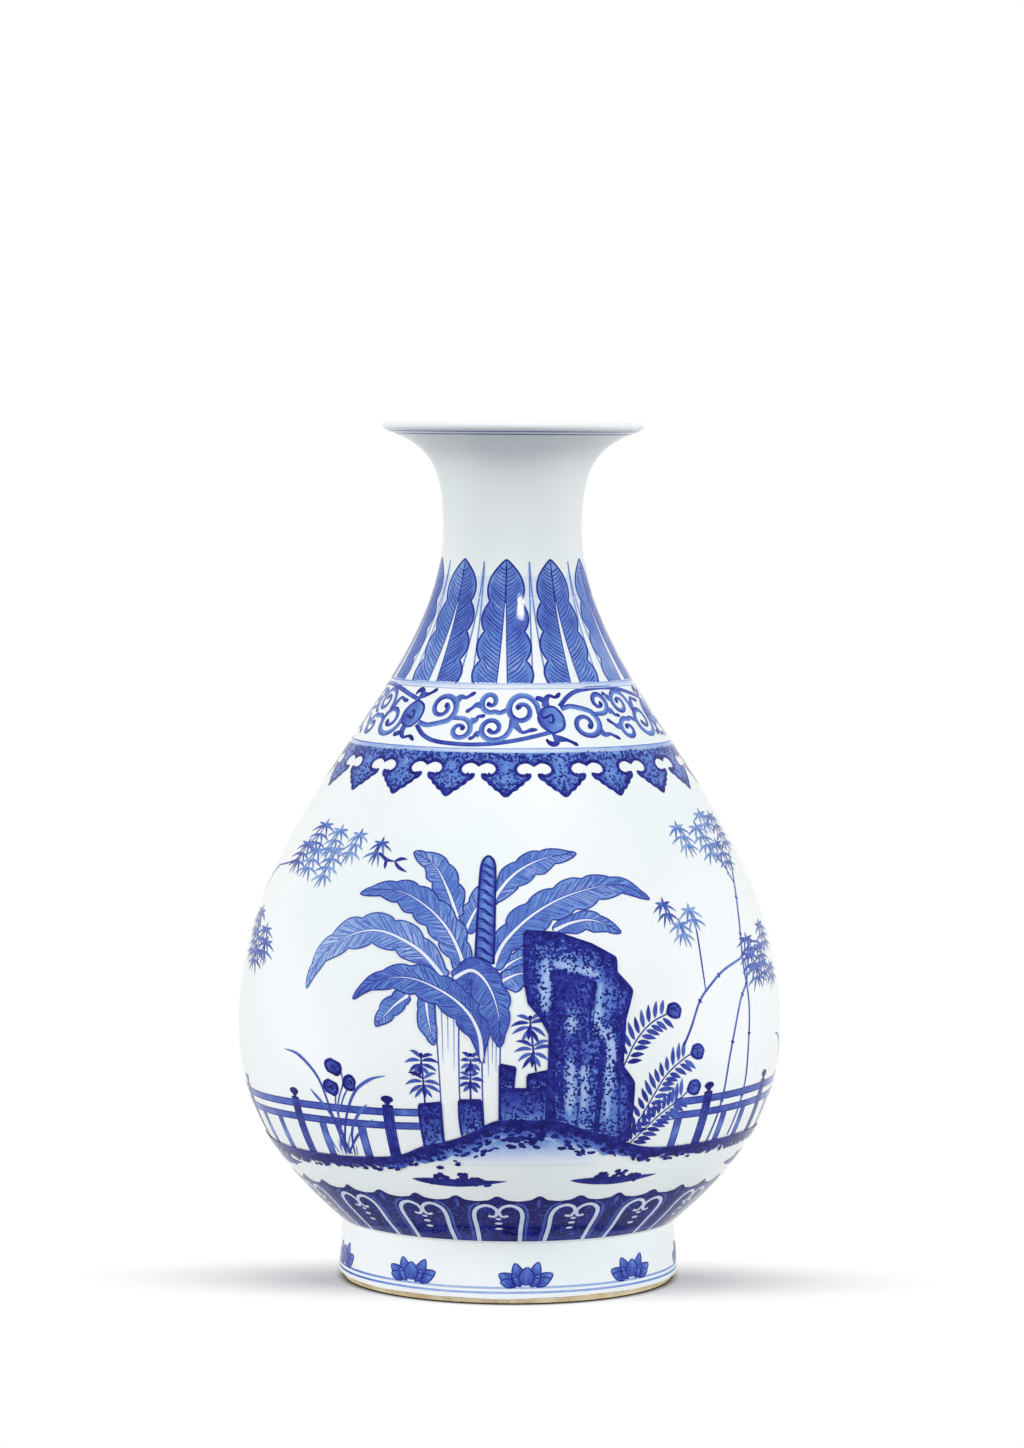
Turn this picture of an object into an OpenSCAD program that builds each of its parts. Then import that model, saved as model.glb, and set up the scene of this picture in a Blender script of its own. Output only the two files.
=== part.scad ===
// Pear-shaped porcelain bottle vase with a trumpet mouth (yuhuchunping).
// Four thrown sections are luted together with clay slip, then glazed outside,
// inside and under the base. Millimetres, Z up, origin at the middle of the
// standing rim. The sizes are those of the finished, glazed surface.

/* [Mouth] */
// Height from the standing rim to the top of the lip
height = 290; // [282:1:310]
// Diameter of the lip at its widest
lip_d = 88.4; // [80:0.2:100]
// Thickness of the rounded lip
lip_t = 2.7; // [2:0.1:4]
// Angle from the horizontal at which the flare runs into the lip
lip_angle = 21; // [12:1:40]
// Length over which the flare settles to the lip's angle
lip_pull = 15; // [8:0.5:18]
// Height over which the neck stays upright before it flares
flare_rise = 23.4; // [14:0.2:28]

/* [Neck] */
// Diameter at the narrowest place
neck_d = 47; // [40:0.5:56]
// Height of the narrowest place
neck_z = 254; // [244:1:260]
// Height over which the neck stays upright before the shoulder
neck_drop = 54; // [40:1:75]
// Wall at the narrowest place, glaze included
neck_wall = 4; // [3:0.1:6]
// Height of the seam between the neck and the upper body
neck_seam_z = 203; // [180:1:225]

/* [Belly] */
// Diameter at the widest place
belly_d = 184.2; // [170:0.2:200]
// Height of the widest place, where the two body sections meet
belly_z = 86; // [76:1:98]
// Fullness above the widest place
belly_rise = 73; // [50:1:90]
// Fullness below the widest place
belly_fall = 31.5; // [20:0.5:45]
// Wall at the widest place, glaze included
belly_wall = 4.8; // [3.6:0.1:7]

/* [Base] */
// Wall where the bowl meets the foot, glaze included
base_wall = 6.4; // [5:0.1:9]
// Thickness of the floor at its middle, inner glaze included
floor_t = 7; // [5:0.2:10]
// Angle from the horizontal at which the bowl meets the foot
bowl_angle = 40.6; // [32:0.2:50]
// Length over which the bowl settles to that angle
bowl_pull = 22.4; // [14:0.2:28]

/* [Foot] */
// Height of the foot, up to the corner under the bowl
foot_h = 20; // [15:0.5:26]
// Diameter of the foot under the bowl
foot_top_d = 113; // [106:0.5:118]
// Diameter of the foot at its lower edge
foot_d = 115.2; // [108:0.2:122]
// Thickness of the foot ring at its lower edge
foot_wall = 7; // [5.5:0.1:10]
// Thickness of the foot ring under the bowl
foot_top_wall = 7.4; // [5.5:0.1:11]
// Width of the bevel on the bare clay edge, outside
rim_bevel = 1.5; // [0.5:0.1:2.2]
// Width of the bevel on the bare clay edge, inside
inner_bevel = 1; // [0.4:0.1:1.8]
// Height at which the glaze stops and the bare clay begins
glaze_line_z = 2.2; // [1.2:0.1:4]

/* [Layers] */
// Thickness of the glaze
glaze_t = 0.4; // [0.2:0.05:0.6]
// Thickness of the slip in each seam
slip_t = 0.8; // [0.4:0.1:1.5]

/* [Hidden] */
$fn = 180;

biscuit_colour = "#e9dfcb";
slip_colour = "#d9cbb2";
glaze_colour = "#eef3f5";

// Straight steps that stand for one whole curve, and for the lip's half round
curve_steps = 36;
lip_steps = 16;
floor_steps = 20;
// Halvings in the search for a height on a curve
search_depth = 40;
// Share of the bowl's curve that the inside follows before the floor rounds in
floor_start = 0.12;
// Pull of the floor's curve at the wall and at the middle, as shares of its radius
floor_wall_pull = 0.35;
floor_mid_pull = 0.55;

// Curves as [start, handle, handle, end], each [radius, height], all running upwards.
lip_r = lip_t / 2;
lip_centre = [lip_d / 2 - lip_r, height - lip_r];
lip_way = [cos(lip_angle), sin(lip_angle)];
lip_out_angle = lip_angle - 90;
lip_in_angle = lip_angle + 90;
lip_crest_angle = 90;
mouth_end = lip_centre + lip_r * [cos(lip_out_angle), sin(lip_out_angle)];
neck = [neck_d / 2, neck_z];
belly = [belly_d / 2, belly_z];
foot_corner = [foot_top_d / 2, foot_h];
bowl_way = [cos(bowl_angle), sin(bowl_angle)];

mouth_curve = [neck, neck + [0, flare_rise], mouth_end - lip_pull * lip_way, mouth_end];
shoulder_curve = [belly, belly + [0, belly_rise], neck - [0, neck_drop], neck];
bowl_curve = [foot_corner, foot_corner + bowl_pull * bowl_way, belly - [0, belly_fall], belly];

function bezier(c, t) =
    pow(1 - t, 3) * c[0] + 3 * pow(1 - t, 2) * t * c[1]
    + 3 * (1 - t) * t * t * c[2] + pow(t, 3) * c[3];
function heading(c, t) =
    pow(1 - t, 2) * (c[1] - c[0]) + 2 * (1 - t) * t * (c[2] - c[1]) + t * t * (c[3] - c[2]);
function outward(c, t) = let (h = heading(c, t)) [h[1], -h[0]] / norm(h);
function under_skin(c, t, depth) = bezier(c, t) - depth * outward(c, t);
function between(a, b, share) = a + (b - a) * share;
function place_at(c, z, low = 0, high = 1, n = search_depth) =
    let (middle = (low + high) / 2)
    n == 0 ? middle
    : bezier(c, middle)[1] < z ? place_at(c, z, middle, high, n - 1)
    : place_at(c, z, low, middle, n - 1);

// Points under a curve from one place on it to another. The depth goes from
// low_depth at the curve's lower end to high_depth at its upper end.
function run(c, from, to, low_depth, high_depth) = [
    for (i = [0 : curve_steps])
        let (t = between(from, to, i / curve_steps))
        under_skin(c, t, between(low_depth, high_depth, t))
];
function lip_arc(radius, from, to) = [
    for (i = [0 : lip_steps])
        let (a = between(from, to, i / lip_steps))
        lip_centre + radius * [cos(a), sin(a)]
];
function backwards(list) = [for (i = [len(list) - 1 : -1 : 0]) list[i]];
function but_first(list) = [for (i = [1 : len(list) - 1]) list[i]];
function last(list) = list[len(list) - 1];

// Where each seam's slip begins and ends on its curve
neck_low = place_at(shoulder_curve, neck_seam_z - slip_t / 2);
neck_high = place_at(shoulder_curve, neck_seam_z + slip_t / 2);
belly_low = place_at(bowl_curve, belly_z - slip_t / 2);
belly_high = place_at(shoulder_curve, belly_z + slip_t / 2);

// Clay just under the outer glaze, from the foot's corner up to the lip
clay_bowl = run(bowl_curve, 0, belly_low, glaze_t, glaze_t);
clay_belly = under_skin(bowl_curve, 1, glaze_t);
clay_shoulder = run(shoulder_curve, belly_high, neck_low, glaze_t, glaze_t);
clay_neck = concat(
    run(shoulder_curve, neck_high, 1, glaze_t, glaze_t),
    but_first(run(mouth_curve, 0, 1, glaze_t, glaze_t))
);

// Clay just under the inner glaze, and the inside surface itself
function lining(c, from, to, low_wall, high_wall, glaze) =
    run(c, from, to, low_wall - glaze, high_wall - glaze);
function inside_bowl(glaze) = lining(bowl_curve, floor_start, belly_low, base_wall, belly_wall, glaze);
function inside_belly(glaze) = under_skin(bowl_curve, 1, belly_wall - glaze);
function inside_shoulder(glaze) =
    lining(shoulder_curve, belly_high, neck_low, belly_wall, neck_wall, glaze);
function inside_neck(glaze) = concat(
    lining(shoulder_curve, neck_high, 1, belly_wall, neck_wall, glaze),
    but_first(lining(mouth_curve, 0, 1, neck_wall, lip_t, glaze))
);

// Underside of the lower body, which the foot ring is luted to
underside_z = clay_bowl[0][1];
foot_ring_top_z = underside_z - slip_t;

// Floor of the inside, from its middle out to the wall
function floor_curve(glaze) =
    let (
        wall_end = inside_bowl(glaze)[0],
        way = heading(bowl_curve, floor_start) / norm(heading(bowl_curve, floor_start)),
        middle = [0, underside_z + floor_t - glaze],
        reach = wall_end[0]
    )
    [
        for (i = [0 : floor_steps])
            bezier(
                [
                    middle,
                    middle + [floor_mid_pull * reach, 0],
                    wall_end - floor_wall_pull * reach * way,
                    wall_end
                ],
                i / floor_steps
            )
    ];

// Foot: the outer side of the clay, and the inner side of the ring
foot_clay_edge = [foot_d / 2 - glaze_t, glaze_line_z];
foot_clay_corner = clay_bowl[0];
function foot_side(z) = [
    between(
        foot_clay_edge[0],
        foot_clay_corner[0],
        (z - glaze_line_z) / (underside_z - glaze_line_z)
    ),
    z
];
foot_inner_r = foot_d / 2 - foot_wall;
foot_inner_top_r = foot_top_d / 2 - foot_top_wall;

module turned(outline) {
    rotate_extrude() polygon(outline);
}

module mouth_and_neck() {
    color(biscuit_colour)
        turned(concat(
            clay_neck,
            but_first(lip_arc(lip_r - glaze_t, lip_out_angle, lip_in_angle)),
            but_first(backwards(inside_neck(glaze_t)))
        ));
}

module upper_body() {
    color(biscuit_colour)
        turned(concat(clay_shoulder, backwards(inside_shoulder(glaze_t))));
}

module lower_body() {
    color(biscuit_colour)
        turned(concat(
            [[0, underside_z]],
            clay_bowl,
            backwards(inside_bowl(glaze_t)),
            but_first(backwards(floor_curve(glaze_t)))
        ));
}

module foot_ring() {
    color(biscuit_colour)
        turned([
            [foot_clay_edge[0] - rim_bevel, 0],
            foot_clay_edge,
            foot_side(foot_ring_top_z),
            [foot_inner_top_r, foot_ring_top_z],
            [foot_inner_r, glaze_line_z],
            [foot_inner_r + inner_bevel, 0]
        ]);
}

module neck_slip_seam() {
    color(slip_colour)
        turned([
            last(clay_shoulder),
            clay_neck[0],
            inside_neck(glaze_t)[0],
            last(inside_shoulder(glaze_t))
        ]);
}

module belly_slip_seam() {
    color(slip_colour)
        turned([
            last(clay_bowl),
            clay_belly,
            clay_shoulder[0],
            inside_shoulder(glaze_t)[0],
            inside_belly(glaze_t),
            last(inside_bowl(glaze_t))
        ]);
}

module foot_slip_seam() {
    color(slip_colour)
        turned([
            foot_side(foot_ring_top_z),
            foot_clay_corner,
            [foot_inner_top_r, underside_z],
            [foot_inner_top_r, foot_ring_top_z]
        ]);
}

module outer_glaze() {
    color(glaze_colour)
        turned(concat(
            [[foot_d / 2, glaze_line_z]],
            run(bowl_curve, 0, 1, 0, 0),
            but_first(run(shoulder_curve, 0, 1, 0, 0)),
            but_first(run(mouth_curve, 0, 1, 0, 0)),
            but_first(lip_arc(lip_r, lip_out_angle, lip_crest_angle)),
            backwards(but_first(lip_arc(lip_r - glaze_t, lip_out_angle, lip_crest_angle))),
            backwards(clay_neck),
            backwards(clay_shoulder),
            [clay_belly],
            backwards(clay_bowl),
            [foot_side(foot_ring_top_z), foot_clay_edge]
        ));
}

module inner_glaze() {
    color(glaze_colour)
        turned(concat(
            floor_curve(glaze_t),
            but_first(inside_bowl(glaze_t)),
            [inside_belly(glaze_t)],
            inside_shoulder(glaze_t),
            inside_neck(glaze_t),
            but_first(backwards(lip_arc(lip_r - glaze_t, lip_crest_angle, lip_in_angle))),
            lip_arc(lip_r, lip_crest_angle, lip_in_angle),
            but_first(backwards(inside_neck(0))),
            backwards(inside_shoulder(0)),
            [inside_belly(0)],
            backwards(inside_bowl(0)),
            but_first(backwards(floor_curve(0)))
        ));
}

module base_glaze() {
    color(glaze_colour)
        turned([
            [0, underside_z],
            [foot_inner_top_r, underside_z],
            [foot_inner_top_r, foot_ring_top_z],
            [foot_inner_r, glaze_line_z],
            [foot_inner_r - glaze_t, glaze_line_z],
            [foot_inner_top_r - glaze_t, underside_z - glaze_t],
            [0, underside_z - glaze_t]
        ]);
}

mouth_and_neck();
upper_body();
lower_body();
foot_ring();
neck_slip_seam();
belly_slip_seam();
foot_slip_seam();
outer_glaze();
inner_glaze();
base_glaze();
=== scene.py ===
import bisect
import math
import random

import bmesh
import bpy
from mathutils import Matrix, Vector


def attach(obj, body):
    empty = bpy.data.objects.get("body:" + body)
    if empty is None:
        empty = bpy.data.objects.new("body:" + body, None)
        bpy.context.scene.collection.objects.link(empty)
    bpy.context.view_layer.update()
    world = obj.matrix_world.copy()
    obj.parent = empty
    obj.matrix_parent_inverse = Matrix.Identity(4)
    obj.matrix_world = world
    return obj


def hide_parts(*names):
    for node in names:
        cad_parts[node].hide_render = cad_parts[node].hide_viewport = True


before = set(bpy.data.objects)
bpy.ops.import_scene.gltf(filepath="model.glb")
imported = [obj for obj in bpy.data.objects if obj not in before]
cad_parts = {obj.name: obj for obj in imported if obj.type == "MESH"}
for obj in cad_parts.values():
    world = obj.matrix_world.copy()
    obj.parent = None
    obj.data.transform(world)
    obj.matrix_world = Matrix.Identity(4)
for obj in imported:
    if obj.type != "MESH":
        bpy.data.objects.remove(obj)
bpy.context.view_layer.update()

scene = bpy.context.scene
mm = 0.001

# Sizes of the thrown form, in millimetres and degrees
vase = {
    "height": 290.0, "lipWidth": 88.4, "lipThick": 2.7, "lipTilt": 21.0, "lipPull": 15.0,
    "flareRise": 23.4, "neckWidth": 47.0, "neckHeight": 254.0, "neckDrop": 54.0, "neckWall": 4.0,
    "bellyWidth": 184.2, "bellyHeight": 86.0, "bellyRise": 73.0, "bellyFall": 31.5, "bellyWall": 4.8,
    "bowlTilt": 40.6, "bowlPull": 22.4, "bowlWall": 6.4,
    "footHeight": 20.0, "footTopWidth": 113.0, "footWidth": 115.2, "footWall": 7.0, "footTopWall": 7.4,
    "floorThick": 7.0, "floorStart": 0.12, "floorWallPull": 0.35, "floorMidPull": 0.55,
    "glazeLine": 2.2, "glazeThick": 0.4, "slipThick": 0.8,
}


def along(degrees, reach):
    return Vector((math.cos(math.radians(degrees)), math.sin(math.radians(degrees)))) * reach


# Curves of the outside as start, two handles and end, each radius and height
lipRadius = vase["lipThick"] / 2
lipMiddle = Vector((vase["lipWidth"] / 2 - lipRadius, vase["height"] - lipRadius))
mouthEnd = lipMiddle + along(vase["lipTilt"] - 90, lipRadius)
neckPoint = Vector((vase["neckWidth"] / 2, vase["neckHeight"]))
bellyPoint = Vector((vase["bellyWidth"] / 2, vase["bellyHeight"]))
footCorner = Vector((vase["footTopWidth"] / 2, vase["footHeight"]))
mouthCurve = [neckPoint, neckPoint + Vector((0, vase["flareRise"])),
              mouthEnd - along(vase["lipTilt"], vase["lipPull"]), mouthEnd]
shoulderCurve = [bellyPoint, bellyPoint + Vector((0, vase["bellyRise"])),
                 neckPoint - Vector((0, vase["neckDrop"])), neckPoint]
bowlCurve = [footCorner, footCorner + along(vase["bowlTilt"], vase["bowlPull"]),
             bellyPoint - Vector((0, vase["bellyFall"])), bellyPoint]


def onCurve(curve, t, depth=0.0):  # a point on a curve, or under it by a depth
    s = 1 - t
    point = s ** 3 * curve[0] + 3 * s * s * t * curve[1] + 3 * s * t * t * curve[2] + t ** 3 * curve[3]
    way = s * s * (curve[1] - curve[0]) + 2 * s * t * (curve[2] - curve[1]) + t * t * (curve[3] - curve[2])
    return point - depth * Vector((way.y, -way.x)).normalized()


def curveRun(curve, steps, low=0.0, high=0.0, start=0.0):
    shares = [start + (1 - start) * i / steps for i in range(steps + 1)]
    return [onCurve(curve, t, low + (high - low) * t) for t in shares]


def lipArc(radius, first, last, steps):
    return [lipMiddle + along(first + (last - first) * i / steps, radius) for i in range(steps + 1)]


def straightRun(start, end, steps):
    return [start.lerp(end, i / steps) for i in range(steps + 1)]


# One small function adds a node: settings by name, and values or links by socket
def addNode(tree, kind, sockets=None, **settings):
    node = tree.nodes.new(kind)
    for key, value in settings.items():
        setattr(node, key, value)
    for socket, value in (sockets or {}).items():
        if isinstance(value, bpy.types.NodeSocket):
            tree.links.new(value, node.inputs[socket])
        else:
            node.inputs[socket].default_value = value
    return node


def linear(hexColour):
    parts = [int(hexColour[i:i + 2], 16) / 255 for i in (1, 3, 5)]
    return [p / 12.92 if p <= 0.04045 else ((p + 0.055) / 1.055) ** 2.4 for p in parts] + [1.0]


def newMaterial(name):
    material = bpy.data.materials.new(name)
    material.use_nodes = True
    return material, material.node_tree, material.node_tree.nodes["Principled BSDF"]


def setStops(ramp, stops):
    while len(ramp.color_ramp.elements) < len(stops):
        ramp.color_ramp.elements.new(1.0)
    for element, (place, colour) in zip(ramp.color_ramp.elements, stops):
        element.position = place
        element.color = linear(colour)


def perMetre(sizeInMm):  # noise scale that gives lumps of this size
    return 1000.0 / sizeInMm


glazeFinish = {
    "white": "#edf1f3", "cool": "#e3ebec", "poolSize": 70.0, "poolFrom": 0.35, "poolTo": 0.7, "shine": 0.2,
    "roughness": 0.07, "ior": 1.5, "waveSize": 26.0, "waveDepth": 0.12, "waveStrength": 0.35,
}


def glazeWaves(tree):  # slow waves in the gloss, where the glaze ran in the kiln
    coords = addNode(tree, "ShaderNodeTexCoord")
    waves = addNode(tree, "ShaderNodeTexNoise", {
        "Vector": coords.outputs["Object"], "Scale": perMetre(glazeFinish["waveSize"]), "Detail": 1.0})
    return coords, addNode(tree, "ShaderNodeBump", {
        "Height": waves.outputs["Fac"], "Strength": glazeFinish["waveStrength"],
        "Distance": glazeFinish["waveDepth"] * mm})


def setGloss(tree, shader, colour, bump, shine):  # bare and painted glaze have the same gloss
    tree.links.new(colour.outputs["Color"], shader.inputs["Base Color"])
    tree.links.new(bump.outputs["Normal"], shader.inputs["Normal"])
    shader.inputs["Roughness"].default_value = glazeFinish["roughness"]
    shader.inputs["IOR"].default_value = glazeFinish["ior"]
    shader.inputs["Specular IOR Level"].default_value = shine


# Clear porcelain glaze, dipped and fired: a cool white with soft pools and slow waves in its gloss
def makeGlaze():
    material, tree, shader = newMaterial("clearPorcelainGlaze")
    coords, bump = glazeWaves(tree)
    pools = addNode(tree, "ShaderNodeTexNoise", {
        "Vector": coords.outputs["Object"], "Scale": perMetre(glazeFinish["poolSize"]), "Detail": 2.0})
    ramp = addNode(tree, "ShaderNodeValToRGB", {"Fac": pools.outputs["Fac"]})
    setStops(ramp, [(glazeFinish["poolFrom"], glazeFinish["white"]),
                    (glazeFinish["poolTo"], glazeFinish["cool"])])
    setGloss(tree, shader, ramp, bump, glazeFinish["shine"])
    return material


cobaltFinish = {
    "stops": [(0.0, "#edf1f3"), (0.22, "#b9cbea"), (0.45, "#6388cc"), (0.62, "#4960b5"),
              (0.78, "#2c3998"), (0.9, "#1b1f7e"), (1.0, "#0e0e5c")],
    "washMottle": 0.22, "washLump": 5.0, "lineMottle": 0.14, "lineLump": 2.4, "shine": 0.12,
}


# Cobalt painted under the glaze: watery washes and darker brush lines, with the same gloss as the glaze
def makeCobalt(name, mottle, lump):
    material, tree, shader = newMaterial(name)
    coords, bump = glazeWaves(tree)
    ink = addNode(tree, "ShaderNodeAttribute", attribute_name="ink")
    broad = addNode(tree, "ShaderNodeTexNoise", {
        "Vector": coords.outputs["Object"], "Scale": perMetre(lump), "Detail": 4.0, "Roughness": 0.65})
    shift = addNode(tree, "ShaderNodeMapRange", {
        "Value": broad.outputs["Fac"], "From Min": 0.25, "From Max": 0.75,
        "To Min": -mottle, "To Max": mottle})
    share = addNode(tree, "ShaderNodeMath", {0: shift.outputs["Result"], 1: ink.outputs["Fac"]},
                    operation="MULTIPLY")
    tone = addNode(tree, "ShaderNodeMath", {0: ink.outputs["Fac"], 1: share.outputs["Value"]},
                   operation="ADD", use_clamp=True)
    ramp = addNode(tree, "ShaderNodeValToRGB", {"Fac": tone.outputs["Value"]})
    setStops(ramp, cobaltFinish["stops"])
    setGloss(tree, shader, ramp, bump, cobaltFinish["shine"])
    return material


biscuitFinish = {
    "clay": "#efe3c6", "toasted": "#d6bd8a", "slip": "#bfa476", "toastedSlip": "#9a7848", "speck": "#7d5630",
    "patchSize": 9.0, "patchFrom": 0.38, "patchTo": 0.68, "gritSize": 0.9, "speckFrom": 0.66, "speckTo": 0.74,
    "gritDepth": 0.15, "gritStrength": 0.5, "roughness": 0.85,
}


# Bare fired clay or slip, wiped on the wheel: matt and sandy, toasted in patches, with brown specks
def makeBiscuit(name, clay, toasted):
    material, tree, shader = newMaterial(name)
    coords = addNode(tree, "ShaderNodeTexCoord")
    patches = addNode(tree, "ShaderNodeTexNoise", {
        "Vector": coords.outputs["Object"], "Scale": perMetre(biscuitFinish["patchSize"]), "Detail": 5.0})
    colour = addNode(tree, "ShaderNodeValToRGB", {"Fac": patches.outputs["Fac"]})
    setStops(colour, [(biscuitFinish["patchFrom"], clay), (biscuitFinish["patchTo"], toasted)])
    grit = addNode(tree, "ShaderNodeTexNoise", {
        "Vector": coords.outputs["Object"], "Scale": perMetre(biscuitFinish["gritSize"]), "Detail": 2.0})
    specks = addNode(tree, "ShaderNodeValToRGB", {"Fac": grit.outputs["Fac"]})
    setStops(specks, [(biscuitFinish["speckFrom"], "#000000"), (biscuitFinish["speckTo"], "#ffffff")])
    mixed = addNode(tree, "ShaderNodeMix", {
        "Factor": specks.outputs["Color"], "A": colour.outputs["Color"], "B": linear(biscuitFinish["speck"])},
        data_type="RGBA")
    bump = addNode(tree, "ShaderNodeBump", {
        "Height": grit.outputs["Fac"], "Strength": biscuitFinish["gritStrength"],
        "Distance": biscuitFinish["gritDepth"] * mm})
    tree.links.new(mixed.outputs["Result"], shader.inputs["Base Color"])
    tree.links.new(bump.outputs["Normal"], shader.inputs["Normal"])
    shader.inputs["Roughness"].default_value = biscuitFinish["roughness"]
    return material


glaze = makeGlaze()
cobaltWash = makeCobalt("cobaltWash", cobaltFinish["washMottle"], cobaltFinish["washLump"])
cobaltLine = makeCobalt("cobaltBrushLine", cobaltFinish["lineMottle"], cobaltFinish["lineLump"])
biscuit = makeBiscuit("firedBiscuit", biscuitFinish["clay"], biscuitFinish["toasted"])
slip = makeBiscuit("firedSlip", biscuitFinish["slip"], biscuitFinish["toastedSlip"])


def setMaterial(piece, material):
    piece.data.materials.clear()
    piece.data.materials.append(material)


def addObject(name, bm, material):  # puts a finished shape into the scene
    mesh = bpy.data.meshes.new(name)
    bm.to_mesh(mesh)
    bm.free()
    piece = bpy.data.objects.new(name, mesh)
    scene.collection.objects.link(piece)
    setMaterial(piece, material)
    return piece


for nodeName in ("mouth_and_neck", "upper_body", "lower_body", "foot_ring"):
    setMaterial(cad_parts[nodeName], biscuit)
for nodeName in ("neck_slip_seam", "belly_slip_seam", "foot_slip_seam"):
    setMaterial(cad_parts[nodeName], slip)
print("materials made")

lathe = {"segments": 256, "creaseAngle": 30.0, "edgeWander": 0.35, "mergeGap": 0.01}


def turned(name, outline, closed, node):  # spins an outline round the axis into a glaze coat
    bm = bmesh.new()
    verts = [bm.verts.new((p.x * mm, 0, p.y * mm)) for p in outline]
    pairs = list(zip(verts, verts[1:])) + ([(verts[-1], verts[0])] if closed else [])
    edges = [bm.edges.new(pair) for pair in pairs]
    bmesh.ops.spin(bm, geom=verts + edges, cent=(0, 0, 0), axis=(0, 0, 1), angle=2 * math.pi,
                   steps=lathe["segments"], use_merge=True)
    bmesh.ops.remove_doubles(bm, verts=bm.verts[:], dist=lathe["mergeGap"] * mm)
    bmesh.ops.recalc_face_normals(bm, faces=bm.faces[:])
    for face in bm.faces:
        face.smooth = True
    for edge in bm.edges:
        edge.smooth = edge.calc_face_angle(0) < math.radians(lathe["creaseAngle"])
    # The wiped edge of the glaze wanders a little round the foot
    for vert in bm.verts:
        height = vert.co.z / mm
        if height < vase["glazeLine"] + 0.01:
            turn = math.atan2(vert.co.y, vert.co.x)
            wander = math.sin(3 * turn + 1) + 0.6 * math.sin(7 * turn) + 0.4 * math.sin(16 * turn + 2)
            vert.co.z -= lathe["edgeWander"] * (0.6 + 0.5 * wander) * mm
    piece = addObject(name, bm, glaze)
    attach(piece, "root")
    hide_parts(node)


footEdge = Vector((vase["footWidth"] / 2, vase["glazeLine"]))
skin = vase["glazeThick"]
outside = (straightRun(footEdge, footCorner, 12)[:-1] + curveRun(bowlCurve, 56)
           + curveRun(shoulderCurve, 84)[1:] + curveRun(mouthCurve, 36)[1:]
           + lipArc(lipRadius, vase["lipTilt"] - 90, 90, 12)[1:])
underSide = lipArc(lipRadius - skin, 90, vase["lipTilt"] - 90, 6)
for curve, steps in ((mouthCurve, 10), (shoulderCurve, 22), (bowlCurve, 14)):
    underSide += curveRun(curve, steps, skin, skin)[-2::-1]
underSide.append(footEdge - Vector((skin, 0)))
turned("outer_glaze_coat", outside + underSide, True, "outer_glaze")

undersideHeight = onCurve(bowlCurve, 0, skin).y


def liningRun(depth, shorter):  # the inside, from the middle of the floor up to the lip
    wall = curveRun(bowlCurve, 40 // shorter, vase["bowlWall"] - depth, vase["bellyWall"] - depth,
                    vase["floorStart"])
    start = vase["floorStart"]
    way = (onCurve(bowlCurve, start + 0.01) - onCurve(bowlCurve, start)).normalized()
    middle = Vector((0, undersideHeight + vase["floorThick"] - depth))
    reach = wall[0].x
    bottom = curveRun([middle, middle + Vector((vase["floorMidPull"] * reach, 0)),
                       wall[0] - vase["floorWallPull"] * reach * way, wall[0]], 28 // shorter)
    return (bottom[:-1] + wall + curveRun(shoulderCurve, 56 // shorter, vase["bellyWall"] - depth,
                                          vase["neckWall"] - depth)[1:]
            + curveRun(mouthCurve, 36 // shorter, vase["neckWall"] - depth, vase["lipThick"] - depth)[1:])


lining = (liningRun(0, 1) + lipArc(lipRadius, vase["lipTilt"] + 90, 90, 10)[1:]
          + lipArc(lipRadius - skin, 90, vase["lipTilt"] + 90, 5) + liningRun(skin, 4)[-2::-1])
turned("inner_glaze_coat", lining, False, "inner_glaze")

ringTop = vase["footTopWidth"] / 2 - vase["footTopWall"]
ringFoot = vase["footWidth"] / 2 - vase["footWall"]
ringTopHeight = undersideHeight - vase["slipThick"]
baseHeight = undersideHeight - skin
base = (straightRun(Vector((0, baseHeight)), Vector((ringTop - 2.5, baseHeight)), 12)
        + [Vector((ringTop - 1.1, baseHeight - 0.2)), Vector((ringTop - 0.5, ringTopHeight - 0.6))]
        + straightRun(Vector((ringTop - skin + 0.1, ringTopHeight - 2.0)),
                      Vector((ringFoot - skin, vase["glazeLine"])), 8)
        + [Vector((ringFoot, vase["glazeLine"])), Vector((ringTop, ringTopHeight)),
           Vector((ringTop, undersideHeight)), Vector((0, undersideHeight))])
turned("base_glaze_coat", base, False, "base_glaze")
print("glaze coats turned")

# The painting is drawn flat, in degrees round the vase, millimetres of height and millimetres of lift,
# and is laid on the glaze at the end. Degrees run to the right from the middle of the garden side.
# In each piece's values a line is its width and tone, and dots are their number, sizes and tones.
painting = {"firstLift": 0.04, "liftStep": 0.016, "ringParts": 240, "dotCorners": 7}
paintedSide = outside[:-6]  # up to the widest place of the lip
profileHeights = [p.y for p in paintedSide]
profileRadii = [p.x for p in paintedSide]


def profileAt(z):  # radius and its change with height
    i = min(max(bisect.bisect_left(profileHeights, z), 1), len(profileHeights) - 1)
    low, high = profileHeights[i - 1], profileHeights[i]
    slope = (profileRadii[i] - profileRadii[i - 1]) / (high - low)
    return profileRadii[i - 1] + slope * (z - low), slope


def scaleAt(z):  # millimetres on the surface for one degree and for one millimetre of height
    radius, slope = profileAt(z)
    return math.radians(radius), math.hypot(1, slope)


def front(x, z):  # a place given as it looks from the front, in millimetres from the axis
    radius = profileAt(z)[0]
    return math.degrees(math.asin(max(-1, min(1, x / radius)))), z


def fronts(points):
    return [front(x, z) for x, z in points]


def beside(at, s, z):  # a place s millimetres along the surface from an angle
    return at + s / scaleAt(z)[0], z


def level(at, wide, z):  # the ends of a short level stroke
    return [beside(at, -wide / 2, z), beside(at, wide / 2, z)]


def roundVase(u):  # a share of the way round, in degrees
    return 360 * u - 180


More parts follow.
